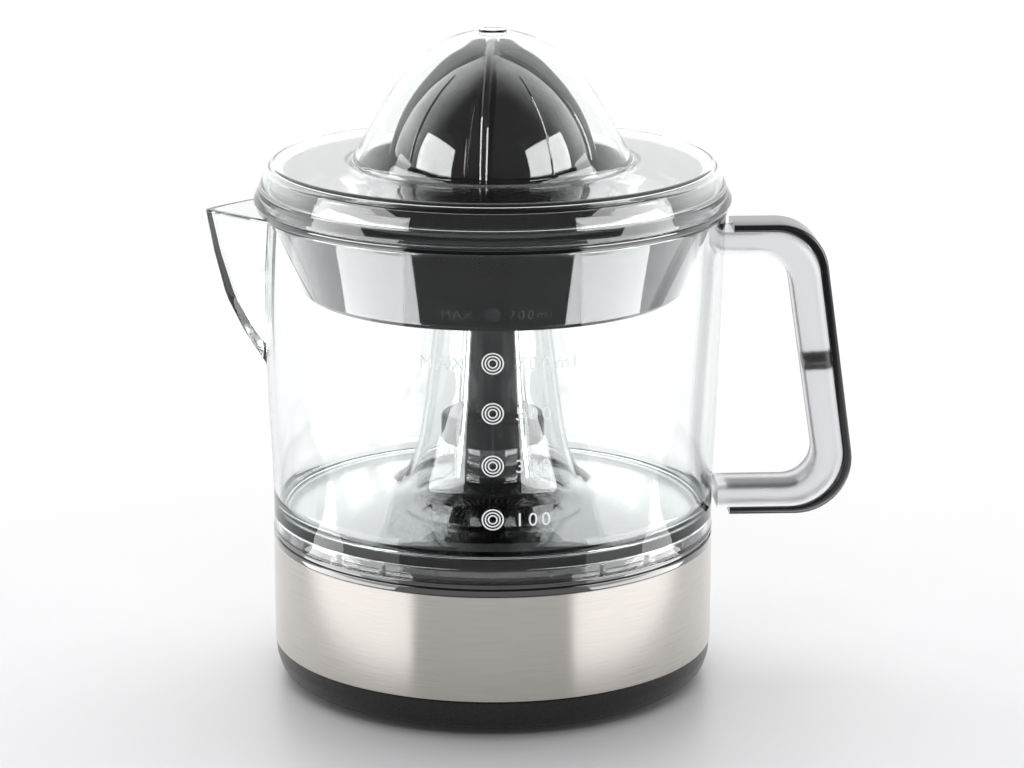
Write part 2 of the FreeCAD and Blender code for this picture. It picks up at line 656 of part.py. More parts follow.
def c_shape(depth, thick, width, start):
    """C bar of constant thickness, centred on the XZ plane."""
    rows = handle_outline(depth, thick, start)
    lines = []
    for inward, row in zip((depth, depth + thick), rows):
        points = [FreeCAD.Vector(x, -width / 2.0, z) for x, z in row]
        shrink = inward * 0.9
        lines.append(rounded(points, (size("corner_high") - shrink, size("corner_low") - shrink)))
    ends = [Part.LineSegment(FreeCAD.Vector(rows[0][n][0], -width / 2.0, rows[0][n][1]),
                             FreeCAD.Vector(rows[1][n][0], -width / 2.0, rows[1][n][1])).toShape()
            for n in (0, 3)]
    wire = Part.Wire(Part.__sortEdges__(lines[0] + lines[1] + ends))
    return Part.Face(wire).extrude(FreeCAD.Vector(0, width, 0))


def handle():
    """Frosted C handle, black strip along its outside, and the peg that holds the strip."""
    strip = size("strip_thick")
    thick = size("handle_thick")
    body = c_shape(strip, thick, size("handle_width"), 64.0)
    long_edges = [e for e in body.Edges if e.BoundBox.YLength < 0.01 and e.BoundBox.XMax > 66.0
                  and (e.BoundBox.XLength > 3.0 or e.BoundBox.ZLength > 10.0)]
    body = body.makeFillet(1.6, long_edges)
    half = Part.makePolygon([FreeCAD.Vector(size(r), 0, size(z)) for r, z in JUG_LINE + JUG_LINE[:1]])
    keep_out = Part.Face(half).revolve(FreeCAD.Vector(), FreeCAD.Vector(0, 0, 1), 360)
    cover = c_shape(0.0, strip, size("strip_width"), 73.5)
    peg = bar(0, 0, 0, thick, 3.0)
    peg.rotate(FreeCAD.Vector(0, 0, 0), FreeCAD.Vector(0, 1, 0), -90)
    level = size("handle_top") - 44.0
    lean = (size("handle_low") - size("handle_high")) / (size("handle_top") - size("handle_foot"))
    peg.translate(FreeCAD.Vector(size("handle_high") + lean * 44.0 - strip, 0, level))
    peg = peg.cut(cover)
    body = body.cut(peg).cut(cover)
    pieces = {"handle_body": body.cut(keep_out), "grip_strip": cover, "handle_peg": peg}
    for name, shape in pieces.items():
        shape.rotate(FreeCAD.Vector(0, 0, 0), FreeCAD.Vector(0, 0, 1), size("handle_angle"))
        plain(name, shape)


# ---------------------------------------------------------------- strainer, drive tube, cone, lid
def strainer():
    """Black bowl with a flange on the jug rim, an upstand under the lid, a hub and a slotted floor."""
    body = turned("strainer_bowl", [
        ("hub_bore", "bowl_bottom + 3"),
        ("bowl_foot - 1.4", "bowl_bottom"),
        ("bowl_foot", "bowl_bottom + 1"),
        ("bowl_neck", "rim_z"),
        ("bowl_neck", "rim_z + 0.1"),
        ("flange_radius", "rim_z + 0.1"),
        ("flange_radius", "rim_z + flange_thick"),
        ("upstand_radius + 2.6", "rim_z + flange_thick"),
        ("upstand_radius + 1.6", "upstand_top - 5"),
        ("upstand_radius - 1", "upstand_top"),
        ("upstand_radius - 3", "upstand_top"),
        ("upstand_radius - 1.4", "rim_z", 0.03),
        ("bowl_foot - bowl_wall - 2", "bowl_bottom + 4.4"),
        ("hub_bore + hub_wall + 6", "bowl_bottom + 7"),
        ("hub_bore + hub_wall", "hub_top_z - 6", 0.14),
        ("hub_bore + hub_wall", "hub_top_z"),
        ("hub_bore", "hub_top_z"),
    ])
    half = "slot_width - 0.9"
    slot = pad(body, "XY_Plane", [
        ("slot_inner + 6", "0 - 0.9"), ("slot_outer", "0 - 0.9"),
        ("slot_outer", half), ("slot_inner + 6", half),
    ], "12", lift="bowl_bottom - 1", cut=True)
    around_z(body, [slot], int(size("slot_count")))
    return body


def drive_tube():
    """Shaft from the spindle dog up to the cone, with a hexagon socket below and dogs on top."""
    body = turned("drive_tube", [
        ("tube_bore", "tube_bottom"), ("tube_radius + 0.5", "tube_bottom"),
        ("tube_radius", "tube_bottom + 5"), ("tube_radius", "hub_top_z + 0.2"),
        ("tube_radius + 3", "hub_top_z + 0.2"), ("tube_radius + 3", "hub_top_z + 2"),
        ("tube_radius - 1", "hub_top_z + 2"), ("tube_radius - 1", "tube_top"), ("tube_bore", "tube_top")])
    pad(body, "XY_Plane", hexagon("socket_radius + 0.3"), "spindle_top - tube_bottom + press_travel + 1",
        lift="tube_bottom", cut=True)
    for turn in (0.0, 90.0):
        pad(body, "XZ_Plane", [
            ("0 - tube_radius", "tube_top - 6"), ("tube_radius", "tube_top - 6"),
            ("tube_radius", "tube_top + 1"), ("0 - tube_radius", "tube_top + 1"),
        ], "2.4", turn=turn, midplane=True, cut=True)
    return body


def large_cone():
    """Fluted cone: smooth lobes, four tall fins and low secondary ribs."""
    body = turned("large_cone", [
        ("skirt_radius - cone_wall", "skirt_z"), ("skirt_radius", "skirt_z"),
        ("skirt_radius", "cone_bottom"), ("cone_radius", "cone_bottom"),
        ("cone_radius - 1.4", "cone_bottom + 8", -0.03),
        ("cone_radius - 7.6", "cone_bottom + 20.6", -0.05),
        ("5.2", "cone_top - 4", -0.07),
        ("3.4", "cone_top - 4"),
        ("cone_radius - 10.6", "cone_bottom + 20", 0.07),
        ("skirt_radius - cone_wall", "cone_bottom + 3", 0.09),
    ])
    fin(body, "fin_rise", "fin_width", 0.0, "cone_top - 4")
    fin(body, "fin_rise - 0.7", "rib_width", -10.0, "cone_top - 15")
    fin(body, "fin_rise - 1", "rib_width - 0.2", 41.0, "cone_top - 12")
    body.Placement = FreeCAD.Placement(FreeCAD.Vector(), FreeCAD.Rotation(FreeCAD.Vector(0, 0, 1),
                                                                          size("fin_angle")))
    return body


def fin(body, rise, width, turn, top):
    """One rib that follows the cone's outer line, repeated four times round."""
    full = top == "cone_top - 4"
    outer = [(f"cone_radius + {rise}", "cone_bottom + 3")]
    outer.append((f"cone_radius - 5.2 + {rise}", "cone_bottom + 20.6", -0.05))
    if full:
        outer.append(("6.2", "cone_top - 3.4", -0.07))
        outer.append(("4.2", "cone_top - 4"))
        outer.append(("cone_radius - 8.4", "cone_bottom + 21"))
    else:
        outer.append(("cone_radius - 9", "cone_bottom + 24", -0.02))
        outer.append(("cone_radius - 8.4", "cone_bottom + 21"))
    outer.append(("cone_radius - 3", "cone_bottom"))
    outer.append(("cone_radius", "cone_bottom"))
    rib = pad(body, "XZ_Plane", outer, width, turn=turn, midplane=True)
    around_z(body, [rib], 4)


def cone_spring():
    """Coil spring between the drive tube's flange and the cone's hub, which lifts the pressed cone."""
    low = size("hub_top_z + 2")
    wire = 0.45
    coil = Part.makeHelix(2.7, size("tube_top + 4") - low - 2 * wire - 0.2, size("tube_radius + 0.1"))
    start = Part.Circle(FreeCAD.Vector(size("tube_radius + 0.1"), 0, 0), FreeCAD.Vector(0, 1, 0), wire)
    shape = Part.Wire(coil.Edges).makePipeShell([Part.Wire(start.toShape())], True, True)
    shape.translate(FreeCAD.Vector(0, 0, low + wire + 0.1))
    plain("cone_spring", shape)


def small_cone():
    """Inner cone on the drive tube: its tip shows through the large cone, its stem reaches the pin."""
    body = turned("small_cone", [
        ("0", "spindle_top + press_travel + 1.1"),
        ("tube_bore - running_gap", "spindle_top + press_travel + 1.1"),
        ("tube_bore - running_gap", "tube_top + 4"), ("tube_radius + 1", "tube_top + 4"),
        ("tube_radius + 1", "cone_bottom + 9"),
        ("cone_radius - 13", "cone_bottom + 9"),
        ("cone_radius - 13", "cone_bottom"), ("skirt_radius - cone_wall - 0.1", "cone_bottom"),
        ("skirt_radius - cone_wall - 0.1", "cone_bottom + 2.4"), ("cone_radius - 10.6", "cone_bottom + 2.4"),
        ("cone_radius - 12", "cone_bottom + 17", -0.05),
        ("2.9", "cone_top - 4", -0.08),
        ("1", "cone_top - 0.4", -0.06),
        ("0", "cone_top - 0.4"),
    ])
    for turn in (0.0, 90.0):
        pad(body, "XZ_Plane", [
            ("0 - tube_radius + 1.3", "tube_top - 2.8"), ("tube_radius - 1.3", "tube_top - 2.8"),
            ("tube_radius - 1.3", "tube_top + 5"), ("0 - tube_radius + 1.3", "tube_top + 5"),
        ], "2", turn=turn, midplane=True)
    return body


def lid():
    """Clear lid: rim, shoulder, flat annular top and a dome with a small moulded knob."""
    turned("dust_cover", [
        ("lid_radius - lid_wall", "lid_bottom"), ("lid_radius - 0.2", "lid_bottom"),
        ("lid_radius - 0.4", "lid_bottom + 1.2"), ("lid_radius - 1.7", "lid_bottom + 3.5"),
        ("lid_radius - 3", "lid_bottom + 7.4"), ("lid_radius - 4", "lid_top - 2.4"),
        ("plate_edge", "lid_top", -0.12), ("dome_radius", "lid_top"),
        ("dome_radius - 3.6", "lid_top + 5.8", 0.1), ("dome_radius - 10.6", "lid_top + 18.4", -0.02),
        ("knob_radius", "dome_top - 0.5", -0.12), ("knob_radius", "dome_top + knob_rise"),
        ("0", "dome_top + knob_rise"), ("0", "dome_top - lid_wall"), ("2", "dome_top - lid_wall"),
        ("dome_radius - 12.4", "lid_top + 17.4", 0.15), ("dome_radius - 5.4", "lid_top + 5", 0.02),
        ("dome_radius - 1.6", "lid_top - lid_wall", -0.1), ("plate_edge - 0.4", "lid_top - lid_wall"),
        ("lid_radius - 5.8", "lid_top - 3"), ("lid_radius - 4.8", "lid_bottom + 7.2"),
        ("lid_radius - 3.5", "lid_bottom + 3.2"),
    ])


# ---------------------------------------------------------------- build and write
bottom_shell()
steel_band()
top_cover()
feet_and_screws()
gearbox()
pinion()
motor()
spindle()
switch()
cord_gland()
add_spout(jug())
handle()
strainer()
drive_tube()
large_cone()
cone_spring()
small_cone()
lid()
doc.recompute()

for item in doc.Objects:
    if "Invalid" in item.State or "Error" in item.State:
        raise RuntimeError(f"{item.Label} failed: {item.State}")
os.makedirs("parts", exist_ok=True)
for piece in PIECES:
    if piece.Shape.isNull() or not piece.Shape.isValid():
        raise RuntimeError(piece.Label + " has no valid shape")
    piece.Shape.exportStep(f"parts/{piece.Label}.step")
    print(piece.Label, round(piece.Shape.Volume / 1000.0, 2), "ml", len(piece.Shape.Solids))
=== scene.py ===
import json
import math

import bmesh
import bpy
from mathutils import Matrix, Vector

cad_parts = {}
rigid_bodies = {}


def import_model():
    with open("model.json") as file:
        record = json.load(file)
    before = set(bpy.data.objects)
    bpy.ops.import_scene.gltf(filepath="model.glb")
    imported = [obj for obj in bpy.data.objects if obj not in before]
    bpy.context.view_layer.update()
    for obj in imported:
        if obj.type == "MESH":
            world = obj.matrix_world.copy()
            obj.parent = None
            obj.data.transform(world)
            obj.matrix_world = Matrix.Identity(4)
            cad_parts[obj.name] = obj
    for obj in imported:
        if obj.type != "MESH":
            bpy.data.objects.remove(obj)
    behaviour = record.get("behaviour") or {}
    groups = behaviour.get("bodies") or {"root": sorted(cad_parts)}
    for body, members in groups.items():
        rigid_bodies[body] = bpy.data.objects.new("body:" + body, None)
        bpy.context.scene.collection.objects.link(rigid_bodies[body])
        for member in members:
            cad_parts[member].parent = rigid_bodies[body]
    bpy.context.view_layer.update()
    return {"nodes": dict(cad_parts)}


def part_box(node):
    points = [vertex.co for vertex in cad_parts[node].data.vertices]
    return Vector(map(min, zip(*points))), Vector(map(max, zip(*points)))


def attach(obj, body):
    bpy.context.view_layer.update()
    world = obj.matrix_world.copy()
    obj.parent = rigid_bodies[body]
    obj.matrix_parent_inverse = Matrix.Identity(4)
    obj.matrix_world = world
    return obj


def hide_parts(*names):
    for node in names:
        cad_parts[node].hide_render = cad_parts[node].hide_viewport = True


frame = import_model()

scene = bpy.context.scene
MM = 0.001


# ---------------------------------------------------------------- bottom shell
# The tray the press stands on: one black moulding, satin outside, with a rolled lower edge and a small
# step where the steel wrap starts. It is screwed up into the cover from below.
def round_corners(points, steps=6):
    """Outline points (r, z[, radius]) in mm; a third number rounds that corner with an arc."""
    result = []
    count = len(points)
    for index, point in enumerate(points):
        here = Vector(point[:2])
        if len(point) < 3:
            result.append(tuple(here))
            continue
        back = Vector(points[index - 1][:2]) - here
        ahead = Vector(points[(index + 1) % count][:2]) - here
        half = back.angle(ahead) / 2
        reach = min(point[2] / math.tan(half), back.length * 0.49, ahead.length * 0.49)
        radius = reach * math.tan(half)
        between = (back.normalized() + ahead.normalized()).normalized()
        centre = here + between * (radius / math.sin(half))
        first = here + back.normalized() * reach - centre
        turn = first.angle_signed(here + ahead.normalized() * reach - centre)
        for step in range(steps + 1):
            angle = -turn * step / steps
            c, s = math.cos(angle), math.sin(angle)
            result.append((centre.x + first.x * c - first.y * s, centre.y + first.x * s + first.y * c))
    return result


def smooth_line(points, steps=8):
    """Catmull-Rom line through (r, z) points in mm."""
    chain = [points[0]] + list(points) + [points[-1]]
    result = []
    for a, b, c, d in zip(chain, chain[1:], chain[2:], chain[3:]):
        for step in range(steps):
            t = step / steps
            result.append(tuple(0.5 * ((2 * b[k]) + (c[k] - a[k]) * t
                                       + (2 * a[k] - 5 * b[k] + 4 * c[k] - d[k]) * t * t
                                       + (3 * b[k] - a[k] - 3 * c[k] + d[k]) * t ** 3) for k in (0, 1)))
    return result + [tuple(points[-1])]


def finish_mesh(name, mesh, sharp=35.0):
    """Outward normals, smooth shading with sharp edges kept, and an object in the scene."""
    work = bmesh.new()
    work.from_mesh(mesh)
    bmesh.ops.remove_doubles(work, verts=work.verts, dist=1e-7)
    bmesh.ops.recalc_face_normals(work, faces=work.faces)
    for face in work.faces:
        face.smooth = True
    for edge in work.edges:
        edge.smooth = len(edge.link_faces) == 2 and edge.calc_face_angle(0.0) < math.radians(sharp)
    work.to_mesh(mesh)
    work.free()
    piece = bpy.data.objects.new(name, mesh)
    scene.collection.objects.link(piece)
    return piece


def hold_flats(outline, gap=0.35):
    """Extra points beside the corners of long straight runs, so flat faces stay flat when smoothed."""
    result = []
    for index, point in enumerate(outline):
        after = outline[(index + 1) % len(outline)]
        result.append(point)
        run = Vector(after) - Vector(point)
        if run.length > 2.5:
            step = run.normalized() * gap
            result += [(point[0] + step.x, point[1] + step.y), (after[0] - step.x, after[1] - step.y)]
    return result


def lathe(name, outline, angles=224, sharp=35.0):
    """Closed outline of (r, z) mm turned about Z. It may be a function of the azimuth, or of a
    column that gives each point its own azimuth."""
    if isinstance(angles, int):
        angles = [2 * math.pi * n / angles for n in range(angles)]
    if not callable(outline):
        outline = hold_flats(outline)
    vertices = []
    for angle in angles:
        ring = outline(angle) if callable(outline) else outline
        for r, z, *own in ring:
            turn = own[0] if own else angle
            vertices.append((r * math.cos(turn) * MM, r * math.sin(turn) * MM, z * MM))
    size = len(ring)
    faces = []
    for n in range(len(angles)):
        m = (n + 1) % len(angles)
        for k in range(size):
            j = (k + 1) % size
            quad = (n * size + k, n * size + j, m * size + j, m * size + k)
            if ring[k][0] < 1e-6 and ring[j][0] < 1e-6:
                continue
            faces.append(quad)
    mesh = bpy.data.meshes.new(name)
    mesh.from_pydata(vertices, [], faces)
    return finish_mesh(name, mesh, sharp)


def dress(piece, body, slot, material, *nodes):
    """Give a piece its material and its body, and hide the CAD nodes it stands for."""
    piece.data.materials.clear()
    piece.data.materials.append(material)
    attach(piece, body)
    if nodes:
        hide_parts(*nodes)
    return piece


def new_material(name, colour, roughness, metallic=0.0, **inputs):
    """Principled material; returns it with its node tree and shader."""
    material = bpy.data.materials.new(name)
    material.use_nodes = True
    shader = material.node_tree.nodes["Principled BSDF"]
    shader.inputs["Base Color"].default_value = (*colour, 1.0)
    shader.inputs["Roughness"].default_value = roughness
    shader.inputs["Metallic"].default_value = metallic
    for key, value in inputs.items():
        shader.inputs[key.replace("_", " ")].default_value = value
    return material


def add_grain(material, scale, bump, rough_low, rough_high, stretch=(1, 1, 1), detail=4.0, tint=0.0):
    """Noise in object space that varies the roughness and colour a little and raises a fine bump."""
    tree = material.node_tree
    nodes, links = tree.nodes, tree.links
    shader = nodes["Principled BSDF"]
    place = nodes.new("ShaderNodeTexCoord")
    mapping = nodes.new("ShaderNodeMapping")
    mapping.inputs["Scale"].default_value = stretch
    noise = nodes.new("ShaderNodeTexNoise")
    noise.inputs["Scale"].default_value = scale
    noise.inputs["Detail"].default_value = detail
    links.new(place.outputs["Object"], mapping.inputs["Vector"])
    links.new(mapping.outputs["Vector"], noise.inputs["Vector"])
    spread = nodes.new("ShaderNodeMapRange")
    spread.inputs["To Min"].default_value = rough_low
    spread.inputs["To Max"].default_value = rough_high
    links.new(noise.outputs["Fac"], spread.inputs["Value"])
    links.new(spread.outputs["Result"], shader.inputs["Roughness"])
    raised = nodes.new("ShaderNodeBump")
    raised.inputs["Strength"].default_value = bump
    raised.inputs["Distance"].default_value = 0.00006
    links.new(noise.outputs["Fac"], raised.inputs["Height"])
    links.new(raised.outputs["Normal"], shader.inputs["Normal"])
    if tint:
        base = shader.inputs["Base Color"].default_value[:3]
        ramp = nodes.new("ShaderNodeValToRGB")
        ramp.color_ramp.elements[0].color = (*(c * (1 - tint) for c in base), 1)
        ramp.color_ramp.elements[1].color = (*(min(1.0, c * (1 + tint)) for c in base), 1)
        links.new(noise.outputs["Fac"], ramp.inputs["Fac"])
        links.new(ramp.outputs["Color"], shader.inputs["Base Color"])
    return material


BASE_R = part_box("steel_band")[1].x / MM
SHELL_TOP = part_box("steel_band")[0].z / MM
BAND_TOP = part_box("steel_band")[1].z / MM
SHELL_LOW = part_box("bottom_shell")[0].z / MM

satin_black = add_grain(new_material("satin_black", (0.011, 0.011, 0.012), 0.28,
                                     Specular_IOR_Level=0.5),
                        2600, 0.10, 0.22, 0.34, tint=0.2)
shell_outline = round_corners([
    (0, SHELL_LOW), (BASE_R - 9, SHELL_LOW, 2), (BASE_R - 2.2, SHELL_LOW + 1.6, 5),
    (BASE_R - 0.5, SHELL_TOP - 4, 6), (BASE_R - 0.2, SHELL_TOP, 0.5), (BASE_R - 3.6, SHELL_TOP),
    (BASE_R - 4.5, SHELL_LOW + 7, 3), (BASE_R - 11, SHELL_LOW + 2.4, 2), (0, SHELL_LOW + 2.4)])
dress(lathe("bottom_shell_skin", shell_outline), "base", "black_shell", satin_black, "bottom_shell")

# ---------------------------------------------------------------- steel band
# A strip of stainless sheet rolled into a hoop round the motor housing, brushed along its length, with
# its cut edges turned in a little. It is gripped between the shell below and the cover above.
steel = new_material("brushed_steel", (0.57, 0.54, 0.505), 0.3, 1.0, Anisotropic=0.7,
                     Anisotropic_Rotation=0.25)


def brush_round(material, lines, low, high, bump):
    """Fine brushing that runs round the Z axis: noise that is long in azimuth and short in height."""
    tree = material.node_tree
    nodes, links = tree.nodes, tree.links
    shader = nodes["Principled BSDF"]
    place = nodes.new("ShaderNodeTexCoord")
    split = nodes.new("ShaderNodeSeparateXYZ")
    links.new(place.outputs["Object"], split.inputs["Vector"])
    turn = nodes.new("ShaderNodeMath")
    turn.operation = "ARCTAN2"
    links.new(split.outputs["Y"], turn.inputs[0])
    links.new(split.outputs["X"], turn.inputs[1])
    height = nodes.new("ShaderNodeMath")
    height.operation = "MULTIPLY"
    height.inputs[1].default_value = lines
    links.new(split.outputs["Z"], height.inputs[0])
    joined = nodes.new("ShaderNodeCombineXYZ")
    links.new(turn.outputs[0], joined.inputs["X"])
    links.new(height.outputs[0], joined.inputs["Z"])
    noise = nodes.new("ShaderNodeTexNoise")
    noise.inputs["Scale"].default_value = 4.0
    noise.inputs["Detail"].default_value = 6.0
    noise.inputs["Roughness"].default_value = 0.65
    links.new(joined.outputs["Vector"], noise.inputs["Vector"])
    spread = nodes.new("ShaderNodeMapRange")
    spread.inputs["From Min"].default_value = 0.3
    spread.inputs["From Max"].default_value = 0.7
    spread.inputs["To Min"].default_value = low
    spread.inputs["To Max"].default_value = high
    links.new(noise.outputs["Fac"], spread.inputs["Value"])
    links.new(spread.outputs["Result"], shader.inputs["Roughness"])
    base = shader.inputs["Base Color"].default_value[:3]
    ramp = nodes.new("ShaderNodeValToRGB")
    ramp.color_ramp.elements[0].position = 0.32
    ramp.color_ramp.elements[1].position = 0.68
    ramp.color_ramp.elements[0].color = (*(c * 0.88 for c in base), 1)
    ramp.color_ramp.elements[1].color = (*(min(1.0, c * 1.1) for c in base), 1)
    links.new(noise.outputs["Fac"], ramp.inputs["Fac"])
    links.new(ramp.outputs["Color"], shader.inputs["Base Color"])
    raised = nodes.new("ShaderNodeBump")
    raised.inputs["Strength"].default_value = bump
    raised.inputs["Distance"].default_value = 0.0001
    links.new(noise.outputs["Fac"], raised.inputs["Height"])
    links.new(raised.outputs["Normal"], shader.inputs["Normal"])
    tangent = nodes.new("ShaderNodeTangent")
    tangent.direction_type = "RADIAL"
    tangent.axis = "Z"
    links.new(tangent.outputs["Tangent"], shader.inputs["Tangent"])
    return material


brush_round(steel, 900, 0.17, 0.27, 0.12)
band_outline = round_corners([
    (BASE_R - 0.6, SHELL_TOP), (BASE_R, SHELL_TOP, 0.35),
    (BASE_R, BAND_TOP, 0.35), (BASE_R - 0.6, BAND_TOP)])
dress(lathe("steel_band_wrap", band_outline), "base", "brushed_band", steel, "steel_band")

# ---------------------------------------------------------------- top cover
# One gloss black moulding: the ring over the steel with a shadow groove, the low conical deck under the
# jug, and the fixed sleeve that carries the spindle. A row of short locating ribs stands on its rim.
gloss_black = add_grain(new_material("gloss_black", (0.0035, 0.0035, 0.004), 0.07,
                                     Specular_IOR_Level=1.0,
                                     Coat_Weight=1.0, Coat_Roughness=0.02, Coat_IOR=1.5),
                        420, 0.008, 0.03, 0.07, tint=0.15)
DECK_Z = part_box("jug")[0].z / MM
cover_low, cover_high = (corner.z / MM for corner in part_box("top_cover"))
HUB_TOP = cover_high - 11.0
cover_outline = round_corners([
    (BASE_R - 0.7, SHELL_TOP), (BASE_R - 0.7, BAND_TOP), (BASE_R + 0.1, BAND_TOP, 0.3),
    (BASE_R + 0.1, BAND_TOP + 1.9, 0.3), (BASE_R - 0.7, BAND_TOP + 2.2), (BASE_R - 0.7, BAND_TOP + 2.8),
    (BASE_R + 0.1, BAND_TOP + 3.1, 0.3), (BASE_R + 0.1, DECK_Z, 0.5), (64.6, DECK_Z),
    (64.6, DECK_Z + 3.6, 1.0), (24, DECK_Z + 8.6, 6), (17, HUB_TOP - 3, 4), (12.5, HUB_TOP, 0.6),
    (10.6, HUB_TOP, 0.3), (10.6, cover_high, 0.5), (7.0, cover_high), (7.0, HUB_TOP - 5),
    (62.2, DECK_Z + 1.2), (65.3, BAND_TOP - 1), (65.3, SHELL_TOP)])
cover = lathe("top_cover_skin", cover_outline)
cord_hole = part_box("cord_gland")
cutter_mesh = bpy.data.meshes.new("cutter")
cutter_bm = bmesh.new()
HOLE_R = 6.0 * MM
bmesh.ops.create_cone(cutter_bm, cap_ends=True, segments=48, radius1=HOLE_R, radius2=HOLE_R, depth=0.03)
bmesh.ops.transform(cutter_bm, matrix=Matrix.Rotation(math.pi / 2, 4, "X"), verts=cutter_bm.verts)
bmesh.ops.translate(cutter_bm, verts=cutter_bm.verts,
                    vec=(0, cord_hole[1].y, (cord_hole[0].z + cord_hole[1].z) / 2))
cutter_bm.to_mesh(cutter_mesh)
cutter_bm.free()
cutter = bpy.data.objects.new("cutter", cutter_mesh)
scene.collection.objects.link(cutter)


def apply_modifiers(piece):
    """Bake the modifier stack into the mesh."""
    graph = bpy.context.evaluated_depsgraph_get()
    baked = bpy.data.meshes.new_from_object(piece.evaluated_get(graph))
    piece.modifiers.clear()
    old = piece.data
    piece.data = baked
    bpy.data.meshes.remove(old)


for holed in (cover, bpy.data.objects["steel_band_wrap"]):
    cut = holed.modifiers.new("cord_hole", "BOOLEAN")
    cut.object = cutter
    cut.operation = "DIFFERENCE"
    cut.solver = "EXACT"
    apply_modifiers(holed)
bpy.data.objects.remove(cutter)
dress(cover, "base", "gloss_black", gloss_black, "top_cover")

# ---------------------------------------------------------------- splash collar and spindle
# A black disc on the spindle that throws drips outwards, and the hexagon dog above it. Both are
# moulded on the steel spindle and turn with it.
column_black = add_grain(new_material("column_black", (0.008, 0.008, 0.009), 0.16,
                                      Specular_IOR_Level=0.25),
                         900, 0.0, 0.10, 0.16, tint=0.1)
collar_low, collar_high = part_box("splash_collar")
collar_outline = round_corners([
    (4.5, collar_low.z / MM), (collar_high.x / MM, collar_low.z / MM, 0.8),
    (collar_high.x / MM, collar_high.z / MM, 1.6), (9.5, collar_high.z / MM), (4.5, collar_high.z / MM)])
dress(lathe("splash_collar_skin", collar_outline, 128), "spindle", "column_black", column_black,
      "splash_collar")

# ---------------------------------------------------------------- jug
# Injection-moulded clear jug: tapered wall, a pouring lip drawn out into a V, a conical floor that
# flares up into the central chimney, and a short skirt that seats on the base.
clear = new_material("clear_plastic", (1.0, 1.0, 1.0), 0.0, IOR=1.49, Transmission_Weight=1.0)
RIM_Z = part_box("jug")[1].z / MM
SPOUT_TURN = math.radians(183.0)


def tint_glass(material, colour, density):
    """Pale tint that only builds up where light runs far through the wall, as at edges."""
    tree = material.node_tree
    volume = tree.nodes.new("ShaderNodeVolumeAbsorption")
    volume.inputs["Color"].default_value = (*colour, 1)
    volume.inputs["Density"].default_value = density
    tree.links.new(volume.outputs["Volume"], tree.nodes["Material Output"].inputs["Volume"])
    return material


tint_glass(clear, (0.40, 0.76, 0.74), 17.0)
jug_outer = smooth_line([(68.2, DECK_Z), (68.2, 56), (68.5, 69), (69.3, 85), (69.8, 100), (70.5, 120),
                         (71.0, 140), (71.4, RIM_Z)], 7)
SPOUT_BACK = 58.0  # distance from the axis at which the V has its full half-width
# height, reach of the ridge and half-width of the V, from the foot of the spout up to the rim
SPOUT_SHAPE = [(99.0, 69.4, 2.6), (110.0, 76.4, 10.0), (121.2, 81.8, 16.3), (136.0, 85.5, 23.3),
               (148.4, 87.6, 28.6)]
SPOUT_LOW = SPOUT_SHAPE[0][0]
SPOUT_STEPS = 22
RIDGE_BLUNT = 0.07
LEAST_TURN = math.radians(1.5)
JUG_WALL = 2.0


def spout_at(z):
    """Reach of the spout's ridge and its half-width over the round wall, at one height."""
    for (z0, reach0, half0), (z1, reach1, half1) in zip(SPOUT_SHAPE, SPOUT_SHAPE[1:]):
        if z <= z1:
            t = max(0.0, (z - z0) / (z1 - z0))
            return reach0 + (reach1 - reach0) * t, half0 + (half1 - half0) * t
    return SPOUT_SHAPE[-1][1:]


def spout_point(wall, z, inset, share):
    """Point on the V of the spout: share runs from -1 on one crease over the ridge at 0 to 1."""
    reach, half = spout_at(z)
    lean = math.atan2(half, reach - SPOUT_BACK)
    reach -= inset / math.sin(lean)
    half -= inset / math.cos(lean)

    def on_line(t):
        fall = math.sqrt(t * t + RIDGE_BLUNT ** 2) - RIDGE_BLUNT
        return Vector((reach - (reach - SPOUT_BACK) * fall, half * t))

    if z <= SPOUT_LOW or reach <= wall:
        return wall, share * LEAST_TURN
    low, high = 0.0, 1.4
    for _ in range(30):
        middle = (low + high) / 2
        if on_line(middle).length > wall:
            low = middle
        else:
            high = middle
    spot = on_line(abs(share) * low)
    angle = math.atan2(spot.y, spot.x)
    if abs(share) > 0.999 or angle >= abs(share) * LEAST_TURN:
        return spot.length, math.copysign(max(angle, abs(share) * LEAST_TURN), share)
    return spot.length, share * LEAST_TURN


